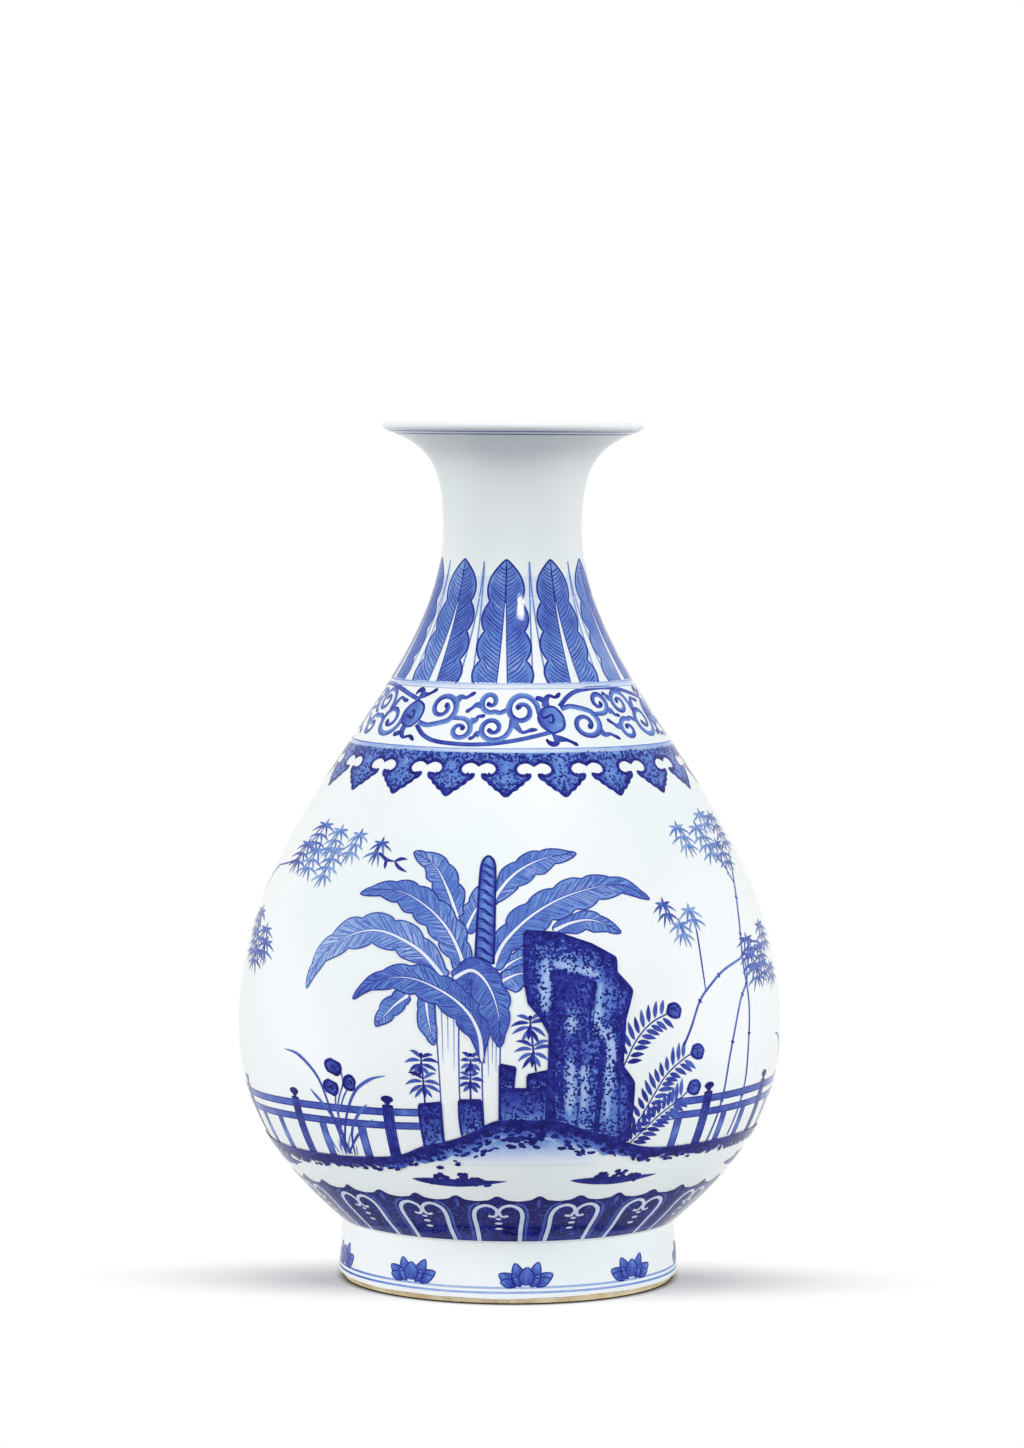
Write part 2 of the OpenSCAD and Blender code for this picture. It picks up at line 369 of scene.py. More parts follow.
def liftOf(order):
    return painting["firstLift"] + painting["liftStep"] * order


def newPaint():
    paint = bmesh.new()
    paint.verts.layers.float.new("ink")
    return paint


paints = {name: newPaint() for name in (
    "rim_lines", "neck_leaf_wash", "neck_leaf_lines", "neck_spears", "band_wash", "band_lines",
    "scroll_wash", "scroll_lines", "ruyi_wash", "ruyi_lines", "ruyi_dots",
    "plantain_wash", "plantain_lines", "plantain_ribs", "rock_wash", "rock_lines", "rock_dots",
    "ground_wash", "ground_dots", "fence_wash", "fence_lines", "plant_wash", "plant_lines",
    "bamboo_leaves", "lappet_wash", "lappet_lines", "lappet_dots", "lappet_reserves",
    "lotus_wash", "lotus_lines")}


def film(name, cols, rows, place, ink, order):  # a grid laid out by a function of two shares
    paint = paints[name]
    tone = paint.verts.layers.float["ink"]
    lift = liftOf(order)
    for vert in bmesh.ops.create_grid(paint, x_segments=cols, y_segments=rows, size=0.5)["verts"]:
        u, v = vert.co.x + 0.5, vert.co.y + 0.5
        a, z = place(u, v)
        vert.co = (a, z, lift)
        vert[tone] = ink(u, v) if callable(ink) else ink


def smoothPath(points, gap=1.1, ease=1.0):  # a curve through the points; less ease makes it more angular
    if len(points) < 3:
        points = [points[0], tuple((p + q) / 2 for p, q in zip(points[0], points[-1])), points[-1]]
    line = []
    for i in range(len(points) - 1):
        before, here = points[max(i - 1, 0)], points[i]
        there, after = points[i + 1], points[min(i + 2, len(points) - 1)]
        wide, tall = scaleAt((here[1] + there[1]) / 2)
        steps = max(2, math.ceil(math.hypot((there[0] - here[0]) * wide, (there[1] - here[1]) * tall) / gap))
        for j in range(steps):
            t = j / steps
            ahead = 3 * t * t - 2 * t ** 3
            leave, arrive = ease * 0.5 * t * (1 - t) ** 2, ease * 0.5 * t * t * (t - 1)
            line.append(tuple(q + (r - q) * ahead + leave * (r - p) + arrive * (s - q)
                              for p, q, r, s in zip(before, here, there, after)))
    return line + [tuple(points[-1])]


def mix(first, last, t):  # a place between two places
    return tuple(p + (q - p) * t for p, q in zip(first, last))


def pointOn(line, share):
    spot = min(max(share, 0), 1) * (len(line) - 1)
    i = min(int(spot), len(line) - 2)
    return mix(line[i], line[i + 1], spot - i)


def sideStep(line, share, across):  # a place beside a line, in millimetres to its left
    spot = share * (len(line) - 1)
    a, z = pointOn(line, share)
    before, after = line[max(math.floor(spot - 0.6), 0)], line[min(math.ceil(spot + 0.6), len(line) - 1)]
    wide, tall = scaleAt(z)
    da, dz = (after[0] - before[0]) * wide, (after[1] - before[1]) * tall
    size = math.hypot(da, dz) or 1.0
    return a - dz / size * across / wide, z + da / size * across / tall


def alongside(line, steps, across, last=1.0):  # a path beside a line, up to a share of its length
    return [sideStep(line, i / steps * last, across(i / steps)) for i in range(steps + 1)]


# How a stroke's width changes along it
def evenStroke(u):
    return 1.0


def brushStroke(u):  # pressed down soon and lifted at the end
    return min(1.0, 0.45 + 2.2 * u, 0.3 + 2.8 * (1 - u))


def tailStroke(u):  # starts full and runs out to a point
    return min(1.0, 0.5 + 4 * u) * (1 - u) ** 0.6 + 0.04


def bladeStroke(u):  # a slim leaf, pointed at both ends
    return max(0.08, math.sin(math.pi * u ** 0.8))


def grassStroke(u):  # slim at the root, broad where it bends over
    return (0.3 + 0.7 * u ** 0.7) * min(1, 5 * (1 - u) + 0.1)


def flameStroke(u):  # broad, then slim, with a drop at the tip
    return (0.7 + 0.28 * math.cos(2 * math.pi * u * 0.8)) * min(1, 5 * (1 - u) + 0.2)


def budStroke(u):  # a round drop, blunt at its start
    return max(0.1, math.sin(math.pi * (0.12 + 0.88 * u)) ** 0.7)


def roundStroke(u):
    return max(0.15, math.sin(math.pi * u) ** 0.6)


def tearStroke(u):  # round, with a little tip at its start
    return min(1, 3 * u + 0.12) ** 0.8 * min(1, 4 * (1 - u) + 0.12) ** 0.6


def ribbon(name, line, width, ink, order, rows=1, stroke=evenStroke):  # a strip of paint along a line
    film(name, len(line) - 1, rows,
         lambda u, v: sideStep(line, u, (v - 0.5) * width * stroke(u)), ink, order)


def brush(name, path, width, ink, order, stroke=brushStroke, gap=1.1, ease=1.0):
    ribbon(name, smoothPath(path, gap, ease), width, ink, order, 1, stroke)


def fill(name, railA, railB, ink, order, rows=3, gap=1.6, ease=1.0):  # a wash between two edges
    lineA, lineB = smoothPath(railA, gap, ease), smoothPath(railB, gap, ease)

    def place(u, v):
        return mix(pointOn(lineA, u), pointOn(lineB, u), v)
    film(name, max(len(lineA), len(lineB)) - 1, rows, place, ink, order)
    return place


def dab(name, spot, size, ink, order, draw, stretch=1.0, turn=None):  # one dot of a loaded brush
    paint = paints[name]
    tone = paint.verts.layers.float["ink"]
    wide, tall = scaleAt(spot[1])
    turn = draw.uniform(0, math.pi) if turn is None else turn
    corners = []
    for k in range(painting["dotCorners"]):
        angle = 2 * math.pi * k / painting["dotCorners"]
        reach = size / 2 * draw.uniform(0.75, 1.15)
        x, y = reach * stretch * math.cos(angle), reach / stretch * math.sin(angle)
        right, up = x * math.cos(turn) - y * math.sin(turn), x * math.sin(turn) + y * math.cos(turn)
        vert = paint.verts.new((spot[0] + right / wide, spot[1] + up / tall, liftOf(order)))
        vert[tone] = ink
        corners.append(vert)
    paint.faces.new(corners)


def stipple(name, place, count, sizes, inks, order, draw, keep=None, stretch=1.25):
    for _ in range(count):
        u, v = draw.random(), draw.random()
        spot = place(u, v)
        if keep is None or draw.random() < keep(u, v, spot):
            dab(name, spot, draw.uniform(*sizes), draw.uniform(*inks), order + draw.uniform(0, 0.3), draw,
                draw.uniform(1.0, stretch))


def ringLine(name, z, width, ink, order=0.5, wobble=0.0):
    def place(u, v):
        a = roundVase(u)
        lean = wobble * (math.sin(math.radians(3 * a)) + 0.5 * math.sin(math.radians(7 * a + 40)))
        return a, z + lean + (v - 0.5) * width / scaleAt(z)[1]
    film(name, painting["ringParts"], 1, place, ink, order)


def toneRun(low, high, waves):  # a tone that swells and fades round the vase
    def tone(u, v):
        return low + (high - low) * (0.5 + 0.5 * math.sin(2 * math.pi * waves * u + 3 * math.sin(5 * u)))
    return tone


rimLines = {"heights": (286.9, 286.0), "width": 0.8, "tones": (0.5, 0.68), "waves": 4}
for z in rimLines["heights"]:
    ringLine("rim_lines", z, rimLines["width"], toneRun(*rimLines["tones"], rimLines["waves"]))

neckLeaves = {
    "count": 10, "turn": -4.5, "base": 203.6, "tip": 244.3,
    "notches": [(203.6, 13.2), (211.2, 11.9), (220.6, 12.0), (230.4, 10.6), (244.3, 0.0)],
    "bulges": [2.6, 3.4, 3.8, 6.9], "ribBase": 2.6, "ribTop": 238.0, "veinGap": 1.35, "veinRise": 5.0,
    "washTone": 0.47, "tints": (-0.1, 0.09), "edgeLine": (0.62, 0.84), "ribSteps": (212, 220, 229),
    "ribLine": (0.4, 0.74), "veinWidths": (0.44, 0.6), "veinTone": 0.77, "veinReach": 0.86,
    "tipFrom": 230.0, "tipLine": (0.5, 0.92),
}


def leafEdge(z):  # half the leaf's width in degrees
    steps = neckLeaves["notches"]
    for (low, wideLow), (high, wideHigh), bulge in zip(steps, steps[1:], neckLeaves["bulges"]):
        if z <= high:
            t = min(max((z - low) / (high - low), 0), 1)
            return wideLow + (wideHigh - wideLow) * t + bulge * math.sin(math.pi * t) ** 0.8
    return 0.0


def ribEdge(z):
    return max(0.0, neckLeaves["ribBase"] * (neckLeaves["ribTop"] - z)
               / (neckLeaves["ribTop"] - neckLeaves["base"]))


def drawNeckLeaf(turn, draw):
    base, tip = neckLeaves["base"], neckLeaves["tip"]
    for side in (-1, 1):
        tint = draw.uniform(*neckLeaves["tints"])

        def half(u, v):
            z = base + (tip - base) * u
            inner, outer = ribEdge(z), leafEdge(z)
            return turn + side * (inner + (outer - inner) * v), z
        film("neck_leaf_wash", 56, 8, half,
             lambda u, v: neckLeaves["washTone"] + tint + 0.1 * abs(v - 0.4) - 0.05 * math.sin(9 * u), 0)
        heights = [base + (tip - base) * i / 60 for i in range(61)]
        edge = [(turn + side * leafEdge(z), z) for z in heights]
        brush("neck_leaf_lines", edge, *neckLeaves["edgeLine"], 0.6, evenStroke)
        rib = [(turn + side * ribEdge(z), z) for z in (base, *neckLeaves["ribSteps"], neckLeaves["ribTop"])]
        brush("neck_leaf_lines", rib, *neckLeaves["ribLine"], 0.6, evenStroke)
        z = base - 0.8 * neckLeaves["veinRise"]
        # Veins rise outwards from the rib, set wider apart than they are so that they show
        while z < tip - 3.0:
            rise = neckLeaves["veinRise"] * min(1, (tip - z) / 14)
            first = (max(0, base + 0.3 - z) / rise) ** 0.8
            vein = []
            for t in (first, (first + 1) / 2, 1):
                height = min(z + rise * t ** 1.25, tip)
                inner, outer = ribEdge(height), neckLeaves["veinReach"] * leafEdge(height)
                vein.append((turn + side * (inner + (outer - inner) * t), height))
            brush("neck_leaf_lines", vein, draw.uniform(*neckLeaves["veinWidths"]),
                  neckLeaves["veinTone"] + tint - draw.uniform(0, 0.12), 0.4, brushStroke, 0.8)
            z += neckLeaves["veinGap"] * draw.uniform(0.85, 1.15)
    middle = [(turn, neckLeaves["tipFrom"]), (turn, tip - 0.5)]
    brush("neck_leaf_lines", middle, *neckLeaves["tipLine"], 0.6, brushStroke)


spears = {"half": 3.5, "tip": 243.6, "edgeLine": (0.5, 0.5), "pointShare": 0.45, "gapTone": 0.12}


def drawSpear(turn):  # the pale spear between two leaves, dark at its point
    base, half, share = neckLeaves["base"], spears["half"], spears["pointShare"]
    for side in (-1, 1):
        path = [(turn + side * half * s, base + (spears["tip"] - base) * (1 - s))
                for s in (1.0, 0.75, 0.5, 0.25, 0.0)]
        brush("neck_spears", path, *spears["edgeLine"], 0.2, evenStroke)

        def gapWash(u, v):  # thin wash between the spear and its leaf
            z = base + (neckLeaves["tip"] - 2 - base) * u
            inner = half * (1 - u)
            return turn + side * (inner + (180 / neckLeaves["count"] - leafEdge(z) - inner) * v), z
        film("neck_spears", 30, 1, gapWash, spears["gapTone"], 0.05)

    def point(u, v):
        z = base + (spears["tip"] - base) * (1 - share + share * u)
        return turn + (v - 0.5) * 2 * half * share * (1 - u), z
    film("neck_spears", 14, 1, point, lambda u, v: 0.1 + 0.36 * u, 0.1)


draw = random.Random(11)
for leaf in range(neckLeaves["count"]):
    step = 360 / neckLeaves["count"]
    drawNeckLeaf(neckLeaves["turn"] + step * leaf, draw)
    drawSpear(neckLeaves["turn"] + step * (leaf + 0.5))
print("neck leaves painted")

bands = {  # rings by height, width and tone
    "washes": [(203.3, 1.7, 0.16), (182.5, 1.3, 0.26)],
    "lines": [(203.6, 0.42, 0.42), (202.1, 0.42, 0.36), (183.1, 0.45, 0.52)],
}
for z, width, tone in bands["washes"]:
    ringLine("band_wash", z, width, toneRun(tone * 0.6, tone * 1.3, 5))
for z, width, tone in bands["lines"]:
    ringLine("band_lines", z, width, toneRun(tone * 0.7, tone * 1.3, 3), 0.8, 0.08)

# One cell of the scroll runs from a bud to the next: millimetres along the band and above its middle
scroll = {
    "cells": 6, "turn": -45.0, "middle": 193.2, "girth": 48.0, "tone": 0.46,
    "curlParts": 22, "vineWidth": 1.6, "flameWidth": 2.9,
    "curls": [  # lead-in, centre, radii, first angle, turns (below zero is clockwise), width
        ([(4.3, -2.4), (7.5, -3.2), (10.2, -2.9)], (12.2, 2.5), (5.5, 4.6), -62, 1.32, 2.1),
        ([(17.0, -0.6), (18.8, -0.6)], (20.4, -4.3), (3.9, 3.5), 92, -1.2, 1.9),
        ([(35.4, 2.2), (33.2, 1.2)], (29.6, 4.7), (3.7, 3.4), -62, -1.2, 1.9),
        ([(37.2, -0.8), (36.7, -4.0), (34.6, -6.6)], (31.0, -3.7), (4.0, 3.6), -78, -1.2, 1.9),
        ([(46.6, 0.8), (46.4, 2.6)], (40.6, 2.1), (5.5, 5.0), 24, 1.36, 2.1),
    ],
    "vine": [(4.0, -3.2), (8.0, -6.3), (13.4, -8.2), (22.8, -8.9), (30.5, -8.6), (37.5, -7.6),
             (44.0, -6.2), (49.5, -4.9)],
    "flames": [  # little leaves that leave the stems
        [(16.6, 4.4), (18.0, 6.0), (20.2, 5.9), (21.6, 6.6), (23.6, 7.7)],
        [(23.6, -1.6), (25.0, -1.2), (26.0, 0.0), (27.2, 0.1), (28.2, 0.5)],
        [(26.6, 3.6), (24.6, 3.6), (23.2, 2.6), (21.2, 1.2)],
        [(27.4, -5.8), (26.2, -5.4), (25.2, -6.6), (23.8, -7.2)],
        [(37.4, -1.2), (39.0, -3.4), (40.6, -4.9), (43.2, -4.2), (45.4, -4.0)],
    ],
}


def scrollPath(points, start, flip, rise=0.0):
    girth = math.radians(scroll["girth"])
    return [(start + s / girth, scroll["middle"] + flip * (w + rise)) for s, w in points]


def curlStroke(u):  # even, with a swollen end
    return 0.74 + 0.26 * math.sin(math.pi * min(1, 0.15 + u)) + 0.25 * max(0, u - 0.86) / 0.14


def drawScrollCell(start, flip):
    for lead, centre, radii, first, turns, width in scroll["curls"]:
        points = list(lead)
        for i in range(scroll["curlParts"] + 1):
            t = i / scroll["curlParts"]
            angle = math.radians(first + 360 * turns * t)
            shrink = 1.04 - 0.78 * t
            points.append((centre[0] + radii[0] * shrink * math.cos(angle),
                           centre[1] + radii[1] * shrink * math.sin(angle)))
        line = smoothPath(scrollPath(points, start, flip), 0.7)

        def curlTone(u, v):  # dark on the inner side of the curl and at its heart
            inner = v if turns > 0 else 1 - v
            heart = 0.16 * max(0, u - 0.75) / 0.25
            return scroll["tone"] + 0.32 * inner ** 1.5 + heart - 0.06 * math.sin(7 * u)
        ribbon("scroll_wash", line, width, curlTone, 0.5, 4, curlStroke)
        a, z = pointOn(line, 0.985)
        brush("scroll_lines", [(a - 0.9, z), (a + 0.9, z)], width * 0.95, 0.84, 0.8, budStroke, 0.4)
    vine = smoothPath(scrollPath(scroll["vine"], start, flip), 1.0)
    ribbon("scroll_wash", vine, scroll["vineWidth"],
           lambda u, v: 0.74 - 0.16 * u + 0.06 * abs(2 * v - 1), 0.4, 2)
    for flame in scroll["flames"]:
        brush("scroll_lines", scrollPath(flame, start, flip), scroll["flameWidth"],
              lambda u, v: 0.52 + 0.3 * u, 0.7, flameStroke, 0.6)


scrollBud = {
    "half": 4.3, "tall": 4.3, "tone": 0.44, "edgeLine": (0.9, 0.76), "curlLine": (0.95, 0.84),
    "flourishes": [  # points, width, tone at the start, its rise, stroke and gap
        ([(-0.4, 4.2), (0.4, 5.6), (0.6, 7.0), (-0.6, 7.7), (-2.0, 7.0), (-2.6, 6.0)],
         2.0, 0.66, 0.26, brushStroke, 0.5),
        ([(0.3, 5.8), (2.4, 6.1), (4.4, 6.6), (7.2, 8.2)], 2.8, 0.68, 0.26, flameStroke, 0.6),
        ([(-1.2, -4.2), (-1.0, -6.2), (0.6, -7.7), (3.0, -7.2), (5.2, -8.6)],
         2.8, 0.64, 0.28, flameStroke, 0.6),
        ([(-1.0, -6.0), (-2.6, -6.6), (-3.8, -6.9), (-4.2, -6.2)], 2.0, 0.82, 0.0, brushStroke, 0.5),
    ],
}


def drawBud(start, flip, rise):  # the round bud at each end of a cell, with its curl and its flourishes
    def path(points):
        return scrollPath(points, start, flip, rise)
    wide, tall = scrollBud["half"], scrollBud["tall"]
    top, bottom = (-0.2, tall), (0.4, -tall)
    right = [top, (wide * 0.85, tall * 0.62), (wide, -tall * 0.2), (wide * 0.55, -tall * 0.85), bottom]
    left = [top, (-wide * 0.8, tall * 0.45), (-wide, -tall * 0.25), (-wide * 0.5, -tall * 0.85), bottom]
    fill("scroll_wash", path(right), path(left), lambda u, v: scrollBud["tone"] + 0.28 * v * v, 0.6, 6, 0.8)
    for edge in (right, left):
        brush("scroll_lines", path(edge), *scrollBud["edgeLine"], 0.9, evenStroke, 0.7)
    curl = [(-3.0, -2.4), (-2.6, -0.6)]
    for i in range(3, 11):
        t = i / 10
        angle, shrink = 3.4 + 6.2 * t, 1 - 0.55 * t
        curl.append((1.6 * shrink * math.cos(angle) - 0.4, 1.9 * shrink * math.sin(angle) - 0.2))
    brush("scroll_lines", path(curl), *scrollBud["curlLine"], 1.0, brushStroke, 0.5)
    for points, width, tone, gain, stroke, gap in scrollBud["flourishes"]:
        brush("scroll_lines", path(points), width, lambda u, v: tone + gain * u, 0.7, stroke, gap)


for cell in range(scroll["cells"]):
    cellStart = scroll["turn"] + 360 / scroll["cells"] * cell
    cellFlip = 1 if cell % 2 == 0 else -1
    drawScrollCell(cellStart + 0.8, cellFlip)
    drawBud(cellStart + 1.0, cellFlip, 0.2 if cellFlip > 0 else 1.0)
print("scroll painted")

ruyi = {
    "count": 20, "turn": -1.5, "wash": 0.46, "edge": 0.88, "edgeWidth": 1.2,
    "half": 9.42, "stripBase": 179.2, "stripTall": 2.4, "dots": (90, (0.6, 1.1), (0.74, 0.92)),
    "edgeDots": (40, (0.7, 1.2), (0.8, 0.95)), "stripDots": (35, (0.6, 1.2), (0.76, 0.96)),
    "edgePath": [(-9.42, 177.8), (-6.6, 179.0), (-3.9, 178.3), (-2.9, 176.6), (-3.9, 175.1), (-6.0, 174.6),
                 (-7.8, 175.0), (-7.2, 173.7), (-5.9, 173.1), (-5.3, 172.1), (-4.1, 171.5), (-3.3, 170.5),
                 (-2.0, 170.0), (-1.1, 169.0), (0.0, 168.2)],
    "spinePath": [(-9.42, 181.9), (-6.4, 181.9), (-3.0, 181.9), (0.0, 181.9), (0.0, 178.1), (0.0, 176.2),
                  (0.0, 175.2), (0.0, 174.4), (0.0, 173.6), (0.0, 172.8), (0.0, 172.0), (0.0, 171.2),
                  (0.0, 170.4), (0.0, 169.4), (0.0, 168.4)],
}


def edgeShare(line, corners, u):  # share of a line at which the u-th part of its corner points is reached
    spot = u * (len(corners) - 1)
    i = min(int(spot), len(corners) - 2)
    low, high = cornerShare(line, corners[i]), cornerShare(line, corners[i + 1])
    return low + (high - low) * (spot - i)


def cornerShare(line, corner):
    near = min(range(len(line)), key=lambda k: abs(line[k][0] - corner[0]) + abs(line[k][1] - corner[1]))
    return near / (len(line) - 1)


def drawRuyi(turn, draw):
    for side in (-1, 1):
        def local(points):
            return [beside(turn, side * -s, z) for s, z in points]
        edge, spine = local(ruyi["edgePath"]), local(ruyi["spinePath"])
        edgeLine = smoothPath(edge, 0.9)

        def place(u, v):
            return mix(pointOn(edgeLine, edgeShare(edgeLine, edge, u)), pointOn(spine, u), v)

        def strip(u, v):
            return beside(turn, side * -ruyi["half"] * u, ruyi["stripBase"] + ruyi["stripTall"] * v)
        film("ruyi_wash", 42, 3, place, lambda u, v: ruyi["wash"] + 0.1 * (1 - v), 0)
        brush("ruyi_lines", edge, ruyi["edgeWidth"], lambda u, v: ruyi["edge"] + 0.06 * math.sin(20 * u), 0.8,
              evenStroke, 0.7)
        stipple("ruyi_dots", place, *ruyi["dots"], 0.9, draw, lambda u, v, spot: 1.0 if u > 0.3 else 0.5, 1.6)
        stipple("ruyi_dots", lambda u, v: place(u, 0.12 * v), *ruyi["edgeDots"], 1.3, draw, None, 1.3)
        stipple("ruyi_dots", strip, *ruyi["stripDots"], 0.9, draw, None, 1.6)


draw = random.Random(23)
for pendant in range(ruyi["count"]):
    drawRuyi(ruyi["turn"] + 360 / ruyi["count"] * pendant, draw)
print("ruyi band painted")

# The plantain: each leaf's rib from base to tip, its breadth left and right of the rib, waves and layer
plantain = {
    "leaves": [
        {"rib": [(14, 126.5), (20, 129), (27, 129.5), (36, 125.5)],
         "left": 2.8, "right": 3.6, "waves": 3, "order": 0},
        {"rib": [(-14.5, 126), (-11, 133), (-6, 139), (0, 141)],
         "left": 4.0, "right": 4.4, "waves": 3, "order": 1},
        {"rib": [(-4, 113.5), (2, 117.5), (9, 120)], "left": 2.6, "right": 2.8, "waves": 2, "order": 2},
        {"rib": [(-3, 110.5), (2.5, 113), (9, 113.5)], "left": 2.6, "right": 4.8, "waves": 2, "order": 3},
        {"rib": [(-5.5, 136), (-1, 142), (4.5, 146.3), (12, 149.3), (21.3, 150.4)],
         "left": 3.6, "right": 4.6, "waves": 4, "order": 4},
        {"rib": [(-17, 130.5), (-20, 138.5), (-24.3, 146), (-31.3, 150.2)],
         "left": 4.2, "right": 4.6, "waves": 4, "order": 5},
        {"rib": [(-5.5, 114.5), (-3, 121), (1.2, 126.3), (8, 132), (17, 136.8), (28, 139.8), (37, 139.8),
                 (45.3, 135.3)], "left": 4.8, "right": 5.8, "waves": 7, "order": 6},
        {"rib": [(-14, 112), (-16.2, 119.5), (-20.3, 127), (-26.3, 133), (-34, 137.3), (-42, 138),
                 (-48.8, 136.2)], "left": 5.2, "right": 4.8, "waves": 7, "order": 9},
        {"rib": [(-21, 111), (-25, 116), (-31, 121), (-41, 125), (-50, 123.8), (-59, 118), (-64, 111),
                 (-66.3, 104.8)], "left": 4.9, "right": 5.4, "waves": 6, "order": 10, "fade": -0.2},
        {"rib": [(-20, 106), (-14.5, 105.2), (-9.6, 100)],
         "left": 6.2, "right": 1.5, "waves": 2, "order": 11.3, "deep": 0.1},
        {"rib": [(-32.5, 105.5), (-37.5, 101.5), (-43.2, 95)],
         "left": 2.8, "right": 3.6, "waves": 3, "order": 11},
        {"rib": [(-27, 106.5), (-26.2, 99), (-24.2, 90)], "left": 2.4, "right": 3.4, "waves": 2, "order": 11},
        {"rib": [(-8.7, 84.5), (-9.6, 93.5), (-13.6, 101), (-21, 106.8), (-31, 110.7), (-40, 110.3),
                 (-47, 107), (-50.7, 103)],
         "left": 5.0, "right": 4.7, "waves": 7, "order": 12, "deep": 0.07, "taper": 5},
        {"rib": [(-18, 111.3), (-12.6, 114), (-8.4, 111.5), (-5.2, 106), (-3.4, 99), (-3.1, 89.8)],
         "left": 4.5, "right": 5.8, "waves": 5, "order": 13, "deep": 0.1},
    ],
    "wash": 0.41, "edge": 0.76, "ribWidth": 1.6, "ribEnd": 0.78, "ribTone": 0.07, "veinGap": 1.2,
    "veinWidths": (0.3, 0.42),
}


def leafBreadth(t):  # share of a leaf's full breadth at a place on its rib
    return min(1, (0.42 + 2.2 * t)) * min(1, (1 - t) * 2.6) ** 0.75


def ribWide(t):
    return plantain["ribWidth"] * max(0.15, 1 - 0.8 * t)


def ribStroke(u):
    return ribWide(u) / ribWide(0)


def drawPlantainLeaf(leaf, draw):
    line = smoothPath(fronts(leaf["rib"]), 1.0)
    order, phase, ribEnd = leaf["order"], draw.uniform(0, 1), plantain["ribEnd"]
    tone, fade = plantain["wash"] + leaf.get("deep", 0), leaf.get("fade", 0)

    def edge(u, side):
        wave = abs(math.sin(math.pi * (leaf["waves"] * u + phase + 0.4 * (side > 0))))
        full = leaf["left"] if side > 0 else leaf["right"]
        return full * leafBreadth(u) * (0.82 + 0.27 * wave ** 0.7) * min(1, 0.12 + leaf.get("taper", 50) * u)

    def place(u, v):
        side = 2 * v - 1
        return sideStep(line, u, side * edge(u, 1 if side > 0 else -1))
    film("plantain_wash", len(line) - 1, 8, place,
         lambda u, v: tone + fade * u + 0.07 * abs(2 * v - 1) + 0.05 * math.sin(8 * u + order), order)
    for side in (-1, 1):
        brush("plantain_lines", alongside(line, 60, lambda u: side * edge(u, side)), 0.5,
              lambda u, v: plantain["edge"] + fade * u, order + 0.6, evenStroke, 1.0)
        brush("plantain_lines", alongside(line, 20, lambda u: side * 0.5 * ribWide(u), ribEnd), 0.3,
              0.66 + 0.6 * fade, order + 0.6, evenStroke, 1.2)
        count = int(len(line) / plantain["veinGap"])  # fewer veins than there are, so that they show
        for k in range(count):
            u = 0.04 + 0.9 * (k + draw.uniform(-0.25, 0.25)) / count
            lean = 0.05 + 0.05 * draw.random()
            reach = draw.uniform(0.72, 0.97)
            start, end = min(max(u, 0), 1), min(max(u + lean, 0), 1)
            vein = [sideStep(line, start, side * 0.5 * ribWide(start / ribEnd)),
                    sideStep(line, end, side * reach * edge(end, side))]
            brush("plantain_lines", vein, draw.uniform(*plantain["veinWidths"]),
                  tone + fade * u + 0.27 - draw.uniform(0, 0.12), order + 0.35, evenStroke, 1.2)
    rib = [pointOn(line, ribEnd * i / 30) for i in range(31)]
    brush("plantain_ribs", rib, plantain["ribWidth"], plantain["ribTone"], order + 0.45, ribStroke, 1.2)
    tip = [pointOn(line, 0.76 + 0.2 * i / 8) for i in range(9)]
    brush("plantain_lines", tip, 0.4, 0.8 + fade, order + 0.6, tailStroke, 1.0)


draw = random.Random(5)
for leaf in plantain["leaves"]:
    drawPlantainLeaf(leaf, draw)

spire = {
    "left": [(-11.2, 116), (-10.8, 124), (-10.2, 136), (-9.3, 147), (-7.1, 149.8)],
    "right": [(-5.2, 116), (-5, 124), (-4.9, 136), (-5, 147), (-7.1, 149.8)],
    "twists": 11, "order": 7.5, "edgeLine": (0.75, 0.9), "twistLine": (0.75, 0.86), "shadeLine": (0.5, 0.74),
}


def drawSpire():  # the rolled new leaf in the middle, twisted like a rope
    left, right = smoothPath(fronts(spire["left"]), 1.0), smoothPath(fronts(spire["right"]), 1.0)
    order = spire["order"]

    def place(u, v):
        return mix(pointOn(left, u), pointOn(right, u), v)
    film("plantain_wash", 36, 5, place, lambda u, v: 0.47 + 0.3 * (2 * v - 1) ** 2, order)
    for edge in (left, right):
        brush("plantain_lines", edge, *spire["edgeLine"], order + 0.6, evenStroke)
    for k in range(spire["twists"]):
        u = 0.03 + 0.9 * k / spire["twists"]
        twist = [place(u + 0.05, 0.04), place(u + 0.045, 0.35), place(u + 0.005, 0.7), place(u - 0.02, 0.97)]
        brush("plantain_lines", twist, *spire["twistLine"], order + 0.5, brushStroke, 0.7)
        shade = [place(u + 0.03, 0.1), place(u + 0.025, 0.35), place(u - 0.01, 0.7)]
        brush("plantain_lines", shade, *spire["shadeLine"], order + 0.4, brushStroke, 0.7)


drawSpire()

